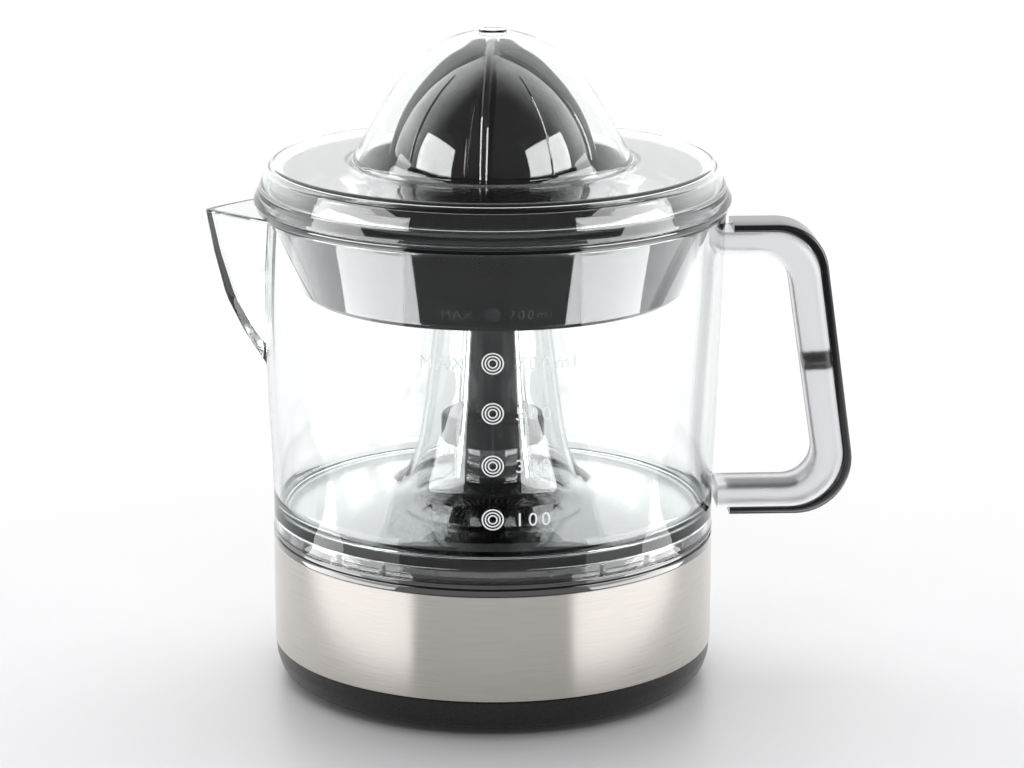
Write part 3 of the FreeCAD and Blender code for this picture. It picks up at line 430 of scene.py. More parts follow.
def jug_section(column):
    """Closed section of the jug at one column, up the outside and back down inside.

    Columns from -1 to 1 lie on the spout, and the others are spread over the rest of the round.
    """

    def place(r, z, inset):
        level = z if r > jug_outer[0][0] - 5 else 0.0
        if abs(column) <= 1:
            radius, angle = spout_point(r, level, inset, column)
            return radius, z, SPOUT_TURN + angle
        crease = spout_point(r, level, inset, 1.0)[1]
        side = math.copysign(1.0, column)
        angle = crease + (math.pi - crease) * (abs(column) - 1.0)
        return r, z, SPOUT_TURN + side * angle

    outside = [place(r, z, 0.0) for r, z in jug_outer]
    lip_r, _, lip_a = place(jug_outer[-1][0], RIM_Z, 0.0)
    outside[-1] = (lip_r, RIM_Z - 0.5, lip_a)
    inside = [place(r - JUG_WALL, z, JUG_WALL) for r, z in reversed(jug_outer) if z > 60]
    in_r, _, in_a = inside[0]
    rim = [(lip_r - 0.15, RIM_Z - 0.15, lip_a), (lip_r - 0.5, RIM_Z, lip_a),
           (in_r + 0.5, RIM_Z, in_a), (in_r + 0.15, RIM_Z - 0.15, in_a)]
    inside[0] = (in_r, RIM_Z - 0.5, in_a)
    floor = smooth_line([(66.3, 58.6), (65.2, 56.2), (62.5, 55.3), (48, 57.6), (34, 60.2), (29, 62.4),
                         (26.2, 66), (23.2, 74), (21, 87), (19, 103), (17.2, 118)], 5)
    under = smooth_line([(15.5, 118), (17.5, 103), (19.5, 87), (21.7, 74), (24.4, 66), (27, 61.6),
                         (32.5, 58.4), (48, 55.6), (63, 53.1)], 5)
    rest = floor + [(16.9, 119), (15.8, 119)] + under + [(65.8, 52.6), (66.2, 52.0), (66.2, DECK_Z)]
    return outside + rim + inside + [place(r, z, 0.0) for r, z in rest]


jug_columns = [n / SPOUT_STEPS for n in range(-SPOUT_STEPS, SPOUT_STEPS + 1)]
jug_columns += [1 + n / 100 for n in range(1, 101)]
jug_columns += [-2 + n / 100 for n in range(1, 100)]
jug = lathe("jug_body", jug_section, jug_columns, 30)

# six guide ribs stand on the inside of the chimney
rib_bm = bmesh.new()
for n in range(6):
    turn = Matrix.Rotation(math.radians(60 * n), 4, "Z")
    line = [(19.8, 86.5), (18.0, 100), (16.1, 116), (14.2, 116), (15.9, 100), (17.6, 86.5), (19.5, 75),
            (21.5, 67.5), (23.6, 67.5), (21.9, 75)]
    sides = []
    for y in (-0.7, 0.7):
        sides.append([rib_bm.verts.new(turn @ Vector((r * MM, y * MM, z * MM))) for r, z in line])
    rib_bm.faces.new(sides[0])
    rib_bm.faces.new(list(reversed(sides[1])))
    for k in range(len(line)):
        j = (k + 1) % len(line)
        rib_bm.faces.new((sides[0][k], sides[0][j], sides[1][j], sides[1][k]))
rib_mesh = bpy.data.meshes.new("chimney_ribs")
rib_bm.to_mesh(rib_mesh)
rib_bm.free()
dress(finish_mesh("chimney_ribs", rib_mesh), "jug", "clear_jug", clear)
dress(jug, "jug", "clear_jug", clear, "jug")

# ---------------------------------------------------------------- graduation
# Volume marks moulded proud on the outside of the jug: three fine rings on the centre line for each
# level, with plain numerals beside them. The raised faces are lightly frosted.
frosted_mark = add_grain(new_material("frosted_mark", (0.80, 0.82, 0.82), 0.5, IOR=1.5,
                                      Transmission_Weight=0.25), 4000, 0.3, 0.4, 0.6)


def wrap_on_wall(mesh, lift):
    """Bend flat artwork (x across, z up, y = height of relief) onto the front of the jug wall."""
    for vertex in mesh.vertices:
        z = vertex.co.z / MM
        wall = jug_outer[0][0]
        for (r0, z0), (r1, z1) in zip(jug_outer, jug_outer[1:]):
            if z0 <= z <= z1:
                wall = r0 + (r1 - r0) * (z - z0) / (z1 - z0)
        r = wall * MM + lift + vertex.co.y
        angle = vertex.co.x / (wall * MM)
        vertex.co.x = r * math.sin(angle)
        vertex.co.y = -r * math.cos(angle)


def numeral(name, words, x, z, height, spacing):
    """Raised text as flat artwork."""
    curve = bpy.data.curves.new(name, "FONT")
    curve.body = words
    curve.size = height * MM * 1.38
    curve.extrude = 0.10 * MM
    curve.bevel_depth = 0.03 * MM
    curve.offset = -0.05 * MM
    curve.space_character = spacing
    holder = bpy.data.objects.new(name, curve)
    scene.collection.objects.link(holder)
    mesh = bpy.data.meshes.new_from_object(holder.evaluated_get(bpy.context.evaluated_depsgraph_get()))
    bpy.data.objects.remove(holder)
    for vertex in mesh.vertices:
        u, v, w = vertex.co
        vertex.co = (u + x * MM, w, v + (z - height / 2) * MM)
    return mesh


def ring_mark(z):
    """Three concentric raised rings."""
    work = bmesh.new()
    for radius in (3.05, 2.15, 1.25):
        loops = []
        for n in range(48):
            a = 2 * math.pi * n / 48
            loops.append([work.verts.new(((radius + 0.22 * math.cos(b)) * math.cos(a) * MM,
                                          0.13 * math.sin(b) * MM,
                                          ((radius + 0.22 * math.cos(b)) * math.sin(a) + z) * MM))
                          for b in [math.pi * 2 * k / 8 for k in range(8)]])
        for n in range(48):
            for k in range(8):
                work.faces.new((loops[n][k], loops[n][(k + 1) % 8], loops[(n + 1) % 48][(k + 1) % 8],
                                loops[(n + 1) % 48][k]))
    mesh = bpy.data.meshes.new("ring_mark")
    work.to_mesh(mesh)
    work.free()
    return mesh


levels = {"100": 68.7, "300": 85.2, "500": 101.2, "700": 116.3}
marks = []
for words, z in levels.items():
    marks.append((f"mark_rings_{words}", ring_mark(z)))
    unit = "ml" if words == "700" else ""
    marks.append((f"mark_text_{words}", numeral("t", words + unit, 6.5, z, 4.15, 1.37)))
marks.append(("mark_text_max", numeral("t", "MAX", -21.8, levels["700"], 4.1, 1.25)))
for name, mesh in marks:
    wrap_on_wall(mesh, 0.04 * MM)
    dress(finish_mesh(name, mesh), "jug", "clear_jug", frosted_mark)

# ---------------------------------------------------------------- handle
# C handle in two mouldings: a frosted clear body joined to the jug at its rim and foot, and a gloss
# black strip let into its outside, held by a peg halfway up.
HANDLE_TURN = math.radians(3.0)
frosted = add_grain(new_material("frosted_clear", (0.96, 0.965, 0.97), 0.22, IOR=1.49,
                                 Transmission_Weight=1.0), 1500, 0.15, 0.30, 0.42)
tint_glass(frosted, (0.70, 0.71, 0.73), 55.0)
strip_low, strip_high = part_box("grip_strip")
HANDLE_TOP = strip_high.z / MM
HANDLE_FOOT = strip_low.z / MM
HANDLE_HIGH, HANDLE_LOW = 101.0, 114.1  # how far out the upper and the lower corner reach
CORNER_HIGH, CORNER_LOW = 21, 19  # radii of those corners on the outside


def handle_path(inward, start, steps=14):
    """C line of one face of the handle, that far inside its outermost face: (x, z) points in mm."""
    corners = [
        (start, HANDLE_TOP - inward),
        (HANDLE_HIGH - inward * 1.1, HANDLE_TOP - inward, CORNER_HIGH - inward),
        (HANDLE_LOW - inward * 1.3, HANDLE_FOOT + inward, CORNER_LOW - inward),
        (start, HANDLE_FOOT + inward)]
    return [Vector(point) for point in round_corners(corners, steps)]


def sweep(name, lines, width, edge_radius):
    """Solid between an outer and an inner path, with rounded long edges, centred on the XZ plane."""
    outer, inner = lines
    work = bmesh.new()
    rings = []
    for a, b in zip(outer, inner):
        thick = (a - b).length
        r = min(edge_radius, thick * 0.49)
        ring = []
        unit = (b - a).normalized()
        for corner_y, corner_d, begin in ((width / 2 - r, r, 0), (width / 2 - r, thick - r, 1),
                                          (-width / 2 + r, thick - r, 2), (-width / 2 + r, r, 3)):
            for step in range(5):
                angle = math.pi / 2 * (begin + step / 4) - math.pi / 2
                y = corner_y + r * math.cos(angle)
                d = corner_d + r * math.sin(angle)
                spot = a + unit * d
                ring.append(work.verts.new((spot.x * MM, y * MM, spot.y * MM)))
        rings.append(ring)
    for one, two in zip(rings, rings[1:]):
        for k in range(len(one)):
            j = (k + 1) % len(one)
            work.faces.new((one[k], one[j], two[j], two[k]))
    work.faces.new(rings[0])
    work.faces.new(list(reversed(rings[-1])))
    bmesh.ops.rotate(work, verts=work.verts, cent=(0, 0, 0), matrix=Matrix.Rotation(HANDLE_TURN, 3, "Z"))
    mesh = bpy.data.meshes.new(name)
    work.to_mesh(mesh)
    work.free()
    return finish_mesh(name, mesh, 50)


body_piece = sweep("handle_shell", (handle_path(2.05, 69.6), handle_path(9.6, 69.6)), 17.0, 2.6)
dress(body_piece, "jug", "frosted_clear", frosted, "handle_body")
grip_black = add_grain(new_material("grip_black", (0.010, 0.010, 0.011), 0.12, Specular_IOR_Level=0.5),
                       800, 0.03, 0.09, 0.17, tint=0.2)
strip_piece = sweep("grip_strip_skin", (handle_path(0.0, 73.5), handle_path(2.3, 73.5)), 15.6, 0.9)
dress(strip_piece, "jug", "grip_black", grip_black, "grip_strip")

# ---------------------------------------------------------------- strainer
# Gloss black bowl that hangs in the jug by its flange: tapered wall, upstand under the lid, a raised
# hub round the drive tube, and a ring of narrow slots in the floor that holds the pips back.
bowl_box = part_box("strainer_bowl")
FLANGE_R = bowl_box[1].x / MM
BOWL_LOW = bowl_box[0].z / MM
BOWL_TOP = bowl_box[1].z / MM
bowl_outline = round_corners([
    (53.4, BOWL_LOW + 0.1), (57.6, BOWL_LOW, 1.2), (59.0, BOWL_LOW + 1.4, 1.0), (68.0, RIM_Z),
    (68.0, RIM_Z + 0.1), (FLANGE_R, RIM_Z + 0.1, 0.5), (FLANGE_R, RIM_Z + 2.2, 0.7), (69.2, RIM_Z + 2.2),
    (68.2, BOWL_TOP - 5, 2), (65.4, BOWL_TOP, 0.9), (63.6, BOWL_TOP, 0.6), (65.2, RIM_Z, 12),
    (55.0, BOWL_LOW + 4.4, 2), (53.4, BOWL_LOW + 4.5)])
hub_outline = round_corners([
    (8.6, BOWL_LOW + 3), (26.2, BOWL_LOW + 1.8), (26.2, BOWL_LOW + 6.4), (16.8, BOWL_LOW + 7, 4),
    (10.8, BOWL_LOW + 17, 4), (10.8, 146, 0.6), (8.6, 146)])
bowl = lathe("strainer_wall", bowl_outline)
dress(bowl, "strainer", "gloss_black", gloss_black, "strainer_bowl")
dress(lathe("strainer_hub", hub_outline, 96), "strainer", "gloss_black", gloss_black)


def radial_bars(name, count, bar_mesh):
    """Geometry nodes: count copies of a bar turned about Z, made real, as one plain mesh."""
    bar = bpy.data.objects.new(name + "_bar", bar_mesh)
    scene.collection.objects.link(bar)
    group = bpy.data.node_groups.new(name + "_nodes", "GeometryNodeTree")
    group.interface.new_socket("Count", in_out="INPUT", socket_type="NodeSocketInt")
    group.interface.new_socket("Bar", in_out="INPUT", socket_type="NodeSocketObject")
    group.interface.new_socket("Finish", in_out="INPUT", socket_type="NodeSocketMaterial")
    group.interface.new_socket("Geometry", in_out="OUTPUT", socket_type="NodeSocketGeometry")
    nodes, links = group.nodes, group.links
    given = nodes.new("NodeGroupInput")
    result = nodes.new("NodeGroupOutput")
    points = nodes.new("GeometryNodePoints")
    info = nodes.new("GeometryNodeObjectInfo")
    order = nodes.new("GeometryNodeInputIndex")
    step = nodes.new("ShaderNodeMath")
    step.operation = "DIVIDE"
    step.inputs[0].default_value = 2 * math.pi
    angle = nodes.new("ShaderNodeMath")
    angle.operation = "MULTIPLY"
    spin = nodes.new("ShaderNodeCombineXYZ")
    copies = nodes.new("GeometryNodeInstanceOnPoints")
    real = nodes.new("GeometryNodeRealizeInstances")
    paint = nodes.new("GeometryNodeSetMaterial")
    links.new(given.outputs["Count"], points.inputs["Count"])
    links.new(given.outputs["Count"], step.inputs[1])
    links.new(order.outputs["Index"], angle.inputs[0])
    links.new(step.outputs[0], angle.inputs[1])
    links.new(angle.outputs[0], spin.inputs["Z"])
    links.new(given.outputs["Bar"], info.inputs["Object"])
    links.new(points.outputs[0], copies.inputs["Points"])
    links.new(info.outputs["Geometry"], copies.inputs["Instance"])
    links.new(spin.outputs[0], copies.inputs["Rotation"])
    links.new(copies.outputs[0], real.inputs[0])
    links.new(real.outputs[0], paint.inputs["Geometry"])
    links.new(given.outputs["Finish"], paint.inputs["Material"])
    links.new(paint.outputs[0], result.inputs[0])
    holder = bpy.data.objects.new(name, bpy.data.meshes.new(name))
    scene.collection.objects.link(holder)
    modifier = holder.modifiers.new("bars", "NODES")
    modifier.node_group = group
    sockets = {item.name: item.identifier for item in group.interface.items_tree
               if item.in_out == "INPUT"}
    modifier[sockets["Count"]] = count
    modifier[sockets["Bar"]] = bar
    modifier[sockets["Finish"]] = gloss_black
    apply_modifiers(holder)
    holder.name = name
    bpy.data.objects.remove(bar)
    return holder


def bevelled_bar(name, corners_low, corners_high, bevel):
    """Six-sided bar from four lower and four upper corners, with its edges bevelled."""
    work = bmesh.new()
    low = [work.verts.new(Vector(c) * MM) for c in corners_low]
    high = [work.verts.new(Vector(c) * MM) for c in corners_high]
    work.faces.new(list(reversed(low)))
    work.faces.new(high)
    for k in range(4):
        work.faces.new((low[k], low[(k + 1) % 4], high[(k + 1) % 4], high[k]))
    bmesh.ops.bevel(work, geom=work.edges, offset=bevel * MM, segments=2, affect="EDGES", profile=0.5)
    bmesh.ops.recalc_face_normals(work, faces=work.faces)
    for face in work.faces:
        face.smooth = True
    mesh = bpy.data.meshes.new(name)
    work.to_mesh(mesh)
    work.free()
    return mesh


def bar_face(inner, outer):
    """Corners of a bar's lower or upper face; each end has its radius, half-width and height."""
    return [(r, side * half, z) for side, ends in ((-1, (inner, outer)), (1, (outer, inner)))
            for r, half, z in ends]


sieve_bar = bevelled_bar(
    "sieve_bar",
    bar_face((25.8, 1.2, BOWL_LOW + 2.2), (53.8, 3.4, BOWL_LOW + 0.9)),
    bar_face((25.8, 1.2, BOWL_LOW + 6.0), (53.8, 3.4, BOWL_LOW + 4.6)), 0.3)
dress(radial_bars("strainer_sieve", 36, sieve_bar), "strainer", "gloss_black", gloss_black)
# bars of the same kind make the short locating ribs on the rim of the base's cover
deck_rib = bevelled_bar(
    "deck_rib",
    bar_face((64.4, 0.5, DECK_Z), (65.6, 0.5, DECK_Z)),
    bar_face((64.4, 0.5, DECK_Z + 2.4), (65.6, 0.5, DECK_Z + 2.4)), 0.12)
dress(radial_bars("deck_ribs", 24, deck_rib), "base", "gloss_black", gloss_black)

# ---------------------------------------------------------------- drive tube
# Black shaft that hangs through the jug's chimney and drops over the spindle's dog; its flange runs on
# the strainer hub and its slotted head turns the cone.
tube_low, tube_high = (corner.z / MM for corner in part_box("drive_tube"))
tube_outline = round_corners([
    (5.9, tube_low), (8.2, tube_low, 0.5), (7.75, tube_low + 5, 3), (7.75, 146.2), (10.7, 146.2, 0.4),
    (10.7, 148, 0.4), (6.7, 148), (6.7, tube_high - 1.2, 0.4), (4.3, tube_high - 1.2), (4.3, 101),
    (5.9, 100.4)])
dress(lathe("drive_tube_skin", tube_outline, 96), "drive", "column_black", column_black, "drive_tube")

# ---------------------------------------------------------------- pressing cones
# The large cone is a gloss black shell with four blade-like ribs, lower ribs beside and between them,
# and full lobes that dip towards the ribs. The small cone's tip shows through its open top.
cone_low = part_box("large_cone")[0].z / MM
FIN_TURN = math.radians(85.0)
fin_line = smooth_line([(32.6, 160.3), (31.7, 165.0), (30.6, 169.0), (28.4, 175.2), (25.1, 181.3),
                        (20.7, 187.3), (14.9, 193.2), (9.4, 197.0), (5.0, 199.1), (2.2, 199.6)], 6)
lobe_line = smooth_line([(31.0, 160.0), (30.4, 165), (28.8, 170.6), (26.4, 175.8), (23.0, 181.0),
                         (18.4, 186.2), (13.0, 190.6), (8.6, 193.2), (4.6, 195.2)], 6)


def lobe_section(angle):
    """Cone shell at one azimuth; the lobes dip towards the four blades."""
    quarter = (angle - FIN_TURN) % (math.pi / 2)
    near = min(quarter, math.pi / 2 - quarter)
    dip = 1.5 * math.exp(-(near / math.radians(9)) ** 2) + 0.2 * math.cos(4 * (angle - FIN_TURN)) ** 2
    outside = []
    for r, z in lobe_line:
        depth = dip * min(1.0, (r - 3.0) / 14.0)
        outside.append((max(r - depth, 3.6), z))
    foot = [(29.6, 159.8), (29.6, cone_low), (27.7, cone_low), (27.7, 162.8)]
    inside = [(24.8, 171), (20.4, 179.8), (12.6, 187.6), (3.6, 194.4)]
    return [(outside[0][0] - 0.6, 159.5)] + outside + [(3.6, 195.4)] + list(reversed(inside)) + \
        list(reversed(foot))


dress(lathe("large_cone_shell", lobe_section, 360, 32), "cone", "gloss_black", gloss_black, "large_cone")


def blade(work, line, turn, width, depth):
    """Thin rib that follows an outline at one azimuth, with a rounded crest."""
    spin = Matrix.Rotation(turn, 4, "Z")
    rows = []
    for index, (r, z) in enumerate(line):
        before = Vector(line[max(index - 1, 0)])
        after = Vector(line[min(index + 1, len(line) - 1)])
        along = (after - before).normalized()
        inwards = Vector((-along.y, along.x))
        row = []
        for y, d in ((-width / 2, depth), (-width / 2, 0.35), (-width * 0.3, 0.05), (0, 0.0),
                     (width * 0.3, 0.05), (width / 2, 0.35), (width / 2, depth)):
            spot = Vector((r, z)) + inwards * d
            row.append(work.verts.new(spin @ Vector((max(spot.x, 0.5) * MM, y * MM, spot.y * MM))))
        rows.append(row)
    for one, two in zip(rows, rows[1:]):
        for k in range(7):
            j = (k + 1) % 7
            work.faces.new((one[k], one[j], two[j], two[k]))
    work.faces.new(rows[0])
    work.faces.new(list(reversed(rows[-1])))


blades = bmesh.new()
side = [(r + 0.5, z) for r, z in lobe_line if z < 184]
middle = [(r + 0.35, z) for r, z in lobe_line if z < 190.5]
for n in range(4):
    quarter = FIN_TURN + n * math.pi / 2
    blade(blades, fin_line, quarter, 2.3, 4.2)
    blade(blades, side, quarter - math.radians(10), 1.2, 2.2)
    blade(blades, middle, quarter + math.radians(41), 0.9, 1.6)
blade_mesh = bpy.data.meshes.new("cone_blades")
blades.to_mesh(blade_mesh)
blades.free()
dress(finish_mesh("cone_blades", blade_mesh, 28), "cone", "gloss_black", gloss_black)

small_low, small_high = (corner.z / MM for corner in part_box("small_cone"))
tip_outline = smooth_line([(20.6, 162.2), (20.2, 170), (19.2, 177), (15.8, 183.4), (11, 189), (6.4, 193.2),
                           (3.0, 196.4), (1.2, 198.7), (0.0, small_high)], 5)
small_outline = tip_outline + [(0, small_low), (4.1, small_low), (4.1, 161), (8.7, 161), (8.7, 168.8),
                               (18.4, 168.8), (18.4, 159.8), (27.4, 159.8), (27.4, 162.2)]
dress(lathe("small_cone_shell", small_outline, 128), "cone", "gloss_black", gloss_black, "small_cone")

# ---------------------------------------------------------------- lid
# Clear cover in one moulding: a sloping shoulder over the strainer's upstand, a flat ring, and the dome
# over the cone with a small round boss from the moulding gate on top.
lid_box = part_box("dust_cover")
LID_LOW, LID_HIGH = lid_box[0].z / MM, lid_box[1].z / MM
LID_R = lid_box[1].x / MM
outside = round_corners([(71.7, LID_LOW), (LID_R - 0.1, LID_LOW, 0.4), (72.9, 152.2, 1), (71.7, 154.6, 3),
                         (70.3, 158.4, 3), (69.2, 161.0, 3), (67.2, 162.8, 1.5), (46.0, 162.8)])[:-1]
dome = smooth_line([(44.2, 162.85), (42.6, 163.6), (41.4, 166), (39.2, 170), (36.1, 175.6), (32.6, 181.3),
                    (28.6, 187.2), (22.8, 193.4), (15.6, 198.8), (9.0, 201.4), (4.4, 202.3)], 6)
knob = [(4.3, LID_HIGH - 0.4), (4.1, LID_HIGH - 0.1), (3.7, LID_HIGH), (0, LID_HIGH)]
dome_in = smooth_line([(0, 200.6), (4.4, 200.45), (8.8, 199.5), (14.8, 197.0), (21.6, 191.9), (27.2, 186),
                       (31.1, 180.2), (34.6, 174.6), (37.6, 169.2), (39.8, 165.0), (41.4, 161.9),
                       (43.6, 161.05)], 6)
inside = round_corners([(46, 161.0), (66.6, 161.0, 1.0), (67.8, 159.6, 2), (68.7, 157.6, 2),
                        (70.0, 154.0, 3)])
dress(lathe("lid_shell", outside + dome + knob + dome_in + inside, 224, 40), "lid", "clear_lid", clear,
      "dust_cover")

# ---------------------------------------------------------------- inside of the base
# Hidden running gear: rubber feet, zinc screws, stamped plate, laminated motor with its copper coil,
# nylon wheels and steel shafts. The modelled parts stay and take these finishes.
rubber = add_grain(new_material("foot_rubber", (0.02, 0.02, 0.02), 0.7), 1800, 0.3, 0.6, 0.85, tint=0.3)
zinc = add_grain(new_material("zinc_steel", (0.55, 0.55, 0.56), 0.35, 1.0), 700, 0.08, 0.28, 0.45,
                 tint=0.12)
plate = add_grain(new_material("plate_steel", (0.50, 0.50, 0.51), 0.4, 1.0), 240, 0.06, 0.3, 0.5,
                  (1, 8, 1), tint=0.1)
laminated = add_grain(new_material("lamination", (0.16, 0.16, 0.17), 0.5, 0.9), 60, 0.5, 0.4, 0.6,
                      (1, 1, 60), 2.0, tint=0.35)
copper = add_grain(new_material("coil_copper", (0.55, 0.22, 0.08), 0.3, 0.9), 90, 0.6, 0.25, 0.4,
                   (1, 30, 30), 2.0, tint=0.3)
bronze = add_grain(new_material("bush_bronze", (0.45, 0.30, 0.13), 0.45, 1.0), 1500, 0.1, 0.4, 0.55,
                   tint=0.2)
nylon = add_grain(new_material("gear_nylon", (0.78, 0.76, 0.68), 0.45), 900, 0.05, 0.38, 0.55, tint=0.05)
ground = add_grain(new_material("shaft_steel", (0.62, 0.62, 0.63), 0.2, 1.0), 500, 0.04, 0.14, 0.28,
                   (1, 1, 12), tint=0.06)
case_black = add_grain(new_material("switch_case", (0.02, 0.02, 0.022), 0.45), 1200, 0.1, 0.38, 0.55,
                       tint=0.2)
finishes = {
    rubber: ("rubber_feet", "cord_gland"),
    zinc: ("case_screws", "gearbox_screws", "motor_screws", "retaining_ring"),
    plate: ("gearbox_plate", "motor_brackets", "motor_spacers"),
    laminated: ("motor_stator", "rotor_core"),
    copper: ("motor_coil",),
    bronze: ("spindle_bushes",),
    nylon: ("idler_gear", "output_gear", "motor_pinion", "switch_button"),
    ground: ("spindle_shaft", "rotor_shaft", "idler_axle", "push_pin", "cone_spring"),
    case_black: ("microswitch",),
    column_black: ("drive_dog",),
    grip_black: ("handle_peg",),
}
for material, names in finishes.items():
    for name in names:
        holder = frame["nodes"][name]
        holder.data.materials.clear()
        holder.data.materials.append(material)

# ---------------------------------------------------------------- stage
# A pale floor that fades to white behind, a white surround that greys towards the viewer, soft boxes at
# the sides, above and before the object, low panels beside the base, and black cards before it.
floor_mesh = bpy.data.meshes.new("floor")
floor_mesh.from_pydata([(-6, -4, 0), (6, -4, 0), (6, 9, 0), (-6, 9, 0)], [], [(0, 1, 2, 3)])
floor = bpy.data.objects.new("floor", floor_mesh)
scene.collection.objects.link(floor)
paper = add_grain(new_material("floor_paper", (0.80, 0.80, 0.815), 0.34, Specular_IOR_Level=0.35),
                  30, 0.0, 0.30, 0.38)
tree = paper.node_tree
place = tree.nodes.new("ShaderNodeTexCoord")
split = tree.nodes.new("ShaderNodeSeparateXYZ")
tree.links.new(place.outputs["Object"], split.inputs["Vector"])
fade = tree.nodes.new("ShaderNodeMapRange")
fade.interpolation_type = "SMOOTHSTEP"
fade.inputs["From Min"].default_value = -0.10
fade.inputs["From Max"].default_value = 0.55
tree.links.new(split.outputs["Y"], fade.inputs["Value"])
glow = tree.nodes.new("ShaderNodeEmission")
glow.inputs["Color"].default_value = (1, 1, 1, 1)
glow.inputs["Strength"].default_value = 1.06
mix = tree.nodes.new("ShaderNodeMixShader")
tree.links.new(fade.outputs["Result"], mix.inputs["Fac"])
tree.links.new(tree.nodes["Principled BSDF"].outputs["BSDF"], mix.inputs[1])
tree.links.new(glow.outputs["Emission"], mix.inputs[2])
tree.links.new(mix.outputs["Shader"], tree.nodes["Material Output"].inputs["Surface"])
floor_mesh.materials.append(paper)

world = bpy.data.worlds.new("studio")
scene.world = world
world.use_nodes = True
sky = world.node_tree
way = sky.nodes.new("ShaderNodeTexCoord")
parts = sky.nodes.new("ShaderNodeSeparateXYZ")
ramp = sky.nodes.new("ShaderNodeMapRange")
ramp.interpolation_type = "SMOOTHSTEP"
ramp.inputs["From Min"].default_value = -0.25
ramp.inputs["From Max"].default_value = 0.5
ramp.inputs["To Min"].default_value = 0.09
ramp.inputs["To Max"].default_value = 1.1
sky.links.new(way.outputs["Generated"], parts.inputs["Vector"])
sky.links.new(parts.outputs["Y"], ramp.inputs["Value"])
lift = sky.nodes.new("ShaderNodeMapRange")
lift.interpolation_type = "SMOOTHSTEP"
lift.inputs["From Min"].default_value = 0.02
lift.inputs["From Max"].default_value = 0.25
lift.inputs["To Min"].default_value = 1.0
lift.inputs["To Max"].default_value = 1.42
product = sky.nodes.new("ShaderNodeMath")
product.operation = "MULTIPLY"
sky.links.new(parts.outputs["Z"], lift.inputs["Value"])
sky.links.new(ramp.outputs["Result"], product.inputs[0])
sky.links.new(lift.outputs["Result"], product.inputs[1])
sky.links.new(product.outputs["Value"], sky.nodes["Background"].inputs["Strength"])
sky.nodes["Background"].inputs["Color"].default_value = (1, 1, 1, 1)

# gloss and clear pieces take the lights that draw their bright bands, and the rest do not
MATT_NAMES = (*frame["nodes"], "floor", "steel_band_wrap", "bottom_shell_skin")
shiny_pieces = bpy.data.collections.new("shiny_pieces")
matt_pieces = bpy.data.collections.new("matt_pieces")
for piece in bpy.data.objects:
    if piece.type == "MESH":
        (matt_pieces if piece.name in MATT_NAMES else shiny_pieces).objects.link(piece)
steel_pieces = bpy.data.collections.new("steel_pieces")
steel_pieces.objects.link(bpy.data.objects["steel_band_wrap"])


def soft_box(name, spot, aim, width, height, radiance, only=None):
    """Rectangular light of a given brightness aimed at a point."""
    lamp = bpy.data.lights.new(name, "AREA")
    lamp.shape = "RECTANGLE"
    lamp.size = width
    lamp.size_y = height
    lamp.energy = radiance * math.pi * width * height
    holder = bpy.data.objects.new(name, lamp)
    scene.collection.objects.link(holder)
    turn = (Vector(aim) - Vector(spot)).to_track_quat("-Z", "Y").to_matrix().to_4x4()
    holder.matrix_world = Matrix.Translation(spot) @ turn
    holder.visible_camera = False
    if only:
        holder.light_linking.receiver_collection = only
    return holder


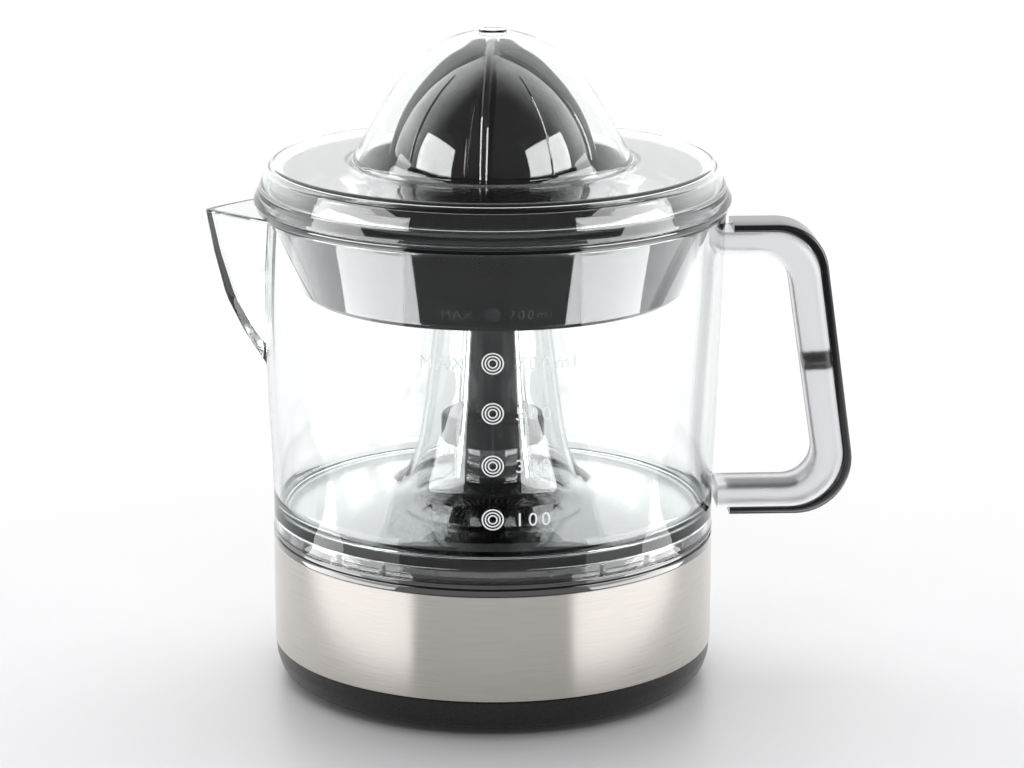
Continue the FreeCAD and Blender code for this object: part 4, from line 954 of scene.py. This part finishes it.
# Low panels: name, start and end along the inner edge, sideways shift, width, radiance, what each one
# lights, height. Each has a height of its own, so that no two lie in one plane.
LOW_PANELS = (("near", 0.10, 0.19, 0.0, 0.165, 4.3, shiny_pieces, 0.0016),
              ("far", 0.19, 0.75, 0.0, 0.55, 1.2, shiny_pieces, 0.0008),
              ("steel", 0.12, 0.34, -0.025, 0.22, 1.0, steel_pieces, 0.0012))
INNER_EDGE = math.radians(42)
for side in (-1, 1):
    soft_box(f"fill_box_{side}", (side * 1.30, -0.47, 0.42), (0, 0, 0.2), 1.4, 1.0, 0.4)
    soft_box(f"shine_box_{side}", (side * 1.15, -0.42, 0.42), (0, 0, 0.2), 1.25, 0.8, 6.4, shiny_pieces)
    # the inner edges of the low panels are radial, so the bright bands in the walls stand upright
    along = Vector((side * math.sin(INNER_EDGE), -math.cos(INNER_EDGE), 0))
    across = Vector((side * math.cos(INNER_EDGE), math.sin(INNER_EDGE), 0))
    for name, start, end, shift, wide, radiance, only, height in LOW_PANELS:
        spot = along * (start + end) / 2 + across * (shift + wide / 2) + Vector((0, 0, height))
        panel = soft_box(f"low_{name}_{side}", spot, spot + Vector((0, 0, 1)), end - start, wide,
                         radiance, only)
        axes = Matrix((along, across * -side, Vector((0, 0, -1)))).transposed()
        panel.matrix_world = Matrix.Translation(spot) @ axes.to_4x4()
soft_box("top_box", (0, 0.1, 1.7), (0, 0, 0.1), 1.3, 1.3, 1.4, matt_pieces)
floor_only = bpy.data.collections.new("floor_only")
floor_only.objects.link(floor)
soft_box("front_box", (0, -0.8, 0.9), (0, -0.1, 0), 0.7, 0.4, 2.6, floor_only)

# Black cards level with the jug's foot, before the object: they keep the middle of the gloss parts
# dark. The wide one is met by reflections only, the narrow one also by rays that leave through the jug.
CARD_LEVEL = 0.0500


def black_card(name, near, far, half_angle, level, hidden_from, steps=8):
    """Flat ring sector of black card before the object, hidden from the named kinds of ray."""
    turns = [half_angle * (2 * step / steps - 1) for step in range(steps + 1)]
    corners = [(reach * math.sin(turn), -reach * math.cos(turn), level)
               for reach, row in ((near, turns), (far, reversed(turns))) for turn in row]
    mesh = bpy.data.meshes.new(name)
    mesh.from_pydata(corners, [], [tuple(range(len(corners)))])
    mesh.materials.append(new_material(name, (0.004, 0.004, 0.004), 1.0))
    card = bpy.data.objects.new(name, mesh)
    scene.collection.objects.link(card)
    for ray in hidden_from:
        setattr(card, "visible_" + ray, False)


UNSEEN_BY = ("camera", "diffuse", "shadow")
black_card("wide_card", 0.086, 0.9, math.radians(39.5), CARD_LEVEL, (*UNSEEN_BY, "transmission"))
black_card("narrow_card", 0.100, 0.146, math.radians(38.5), CARD_LEVEL + 0.0002, UNSEEN_BY)

scene.view_settings.view_transform = "Standard"
lens = bpy.data.cameras.new("camera")
lens.lens = 124.7
lens.sensor_width = 36.0
lens.shift_x = 0.0188
lens.clip_end = 50
camera = bpy.data.objects.new("camera", lens)
scene.collection.objects.link(camera)
camera.location = (0, -1.0639, 0.3672)
camera.rotation_euler = (math.radians(90 - 14.5), 0, 0)
scene.camera = camera
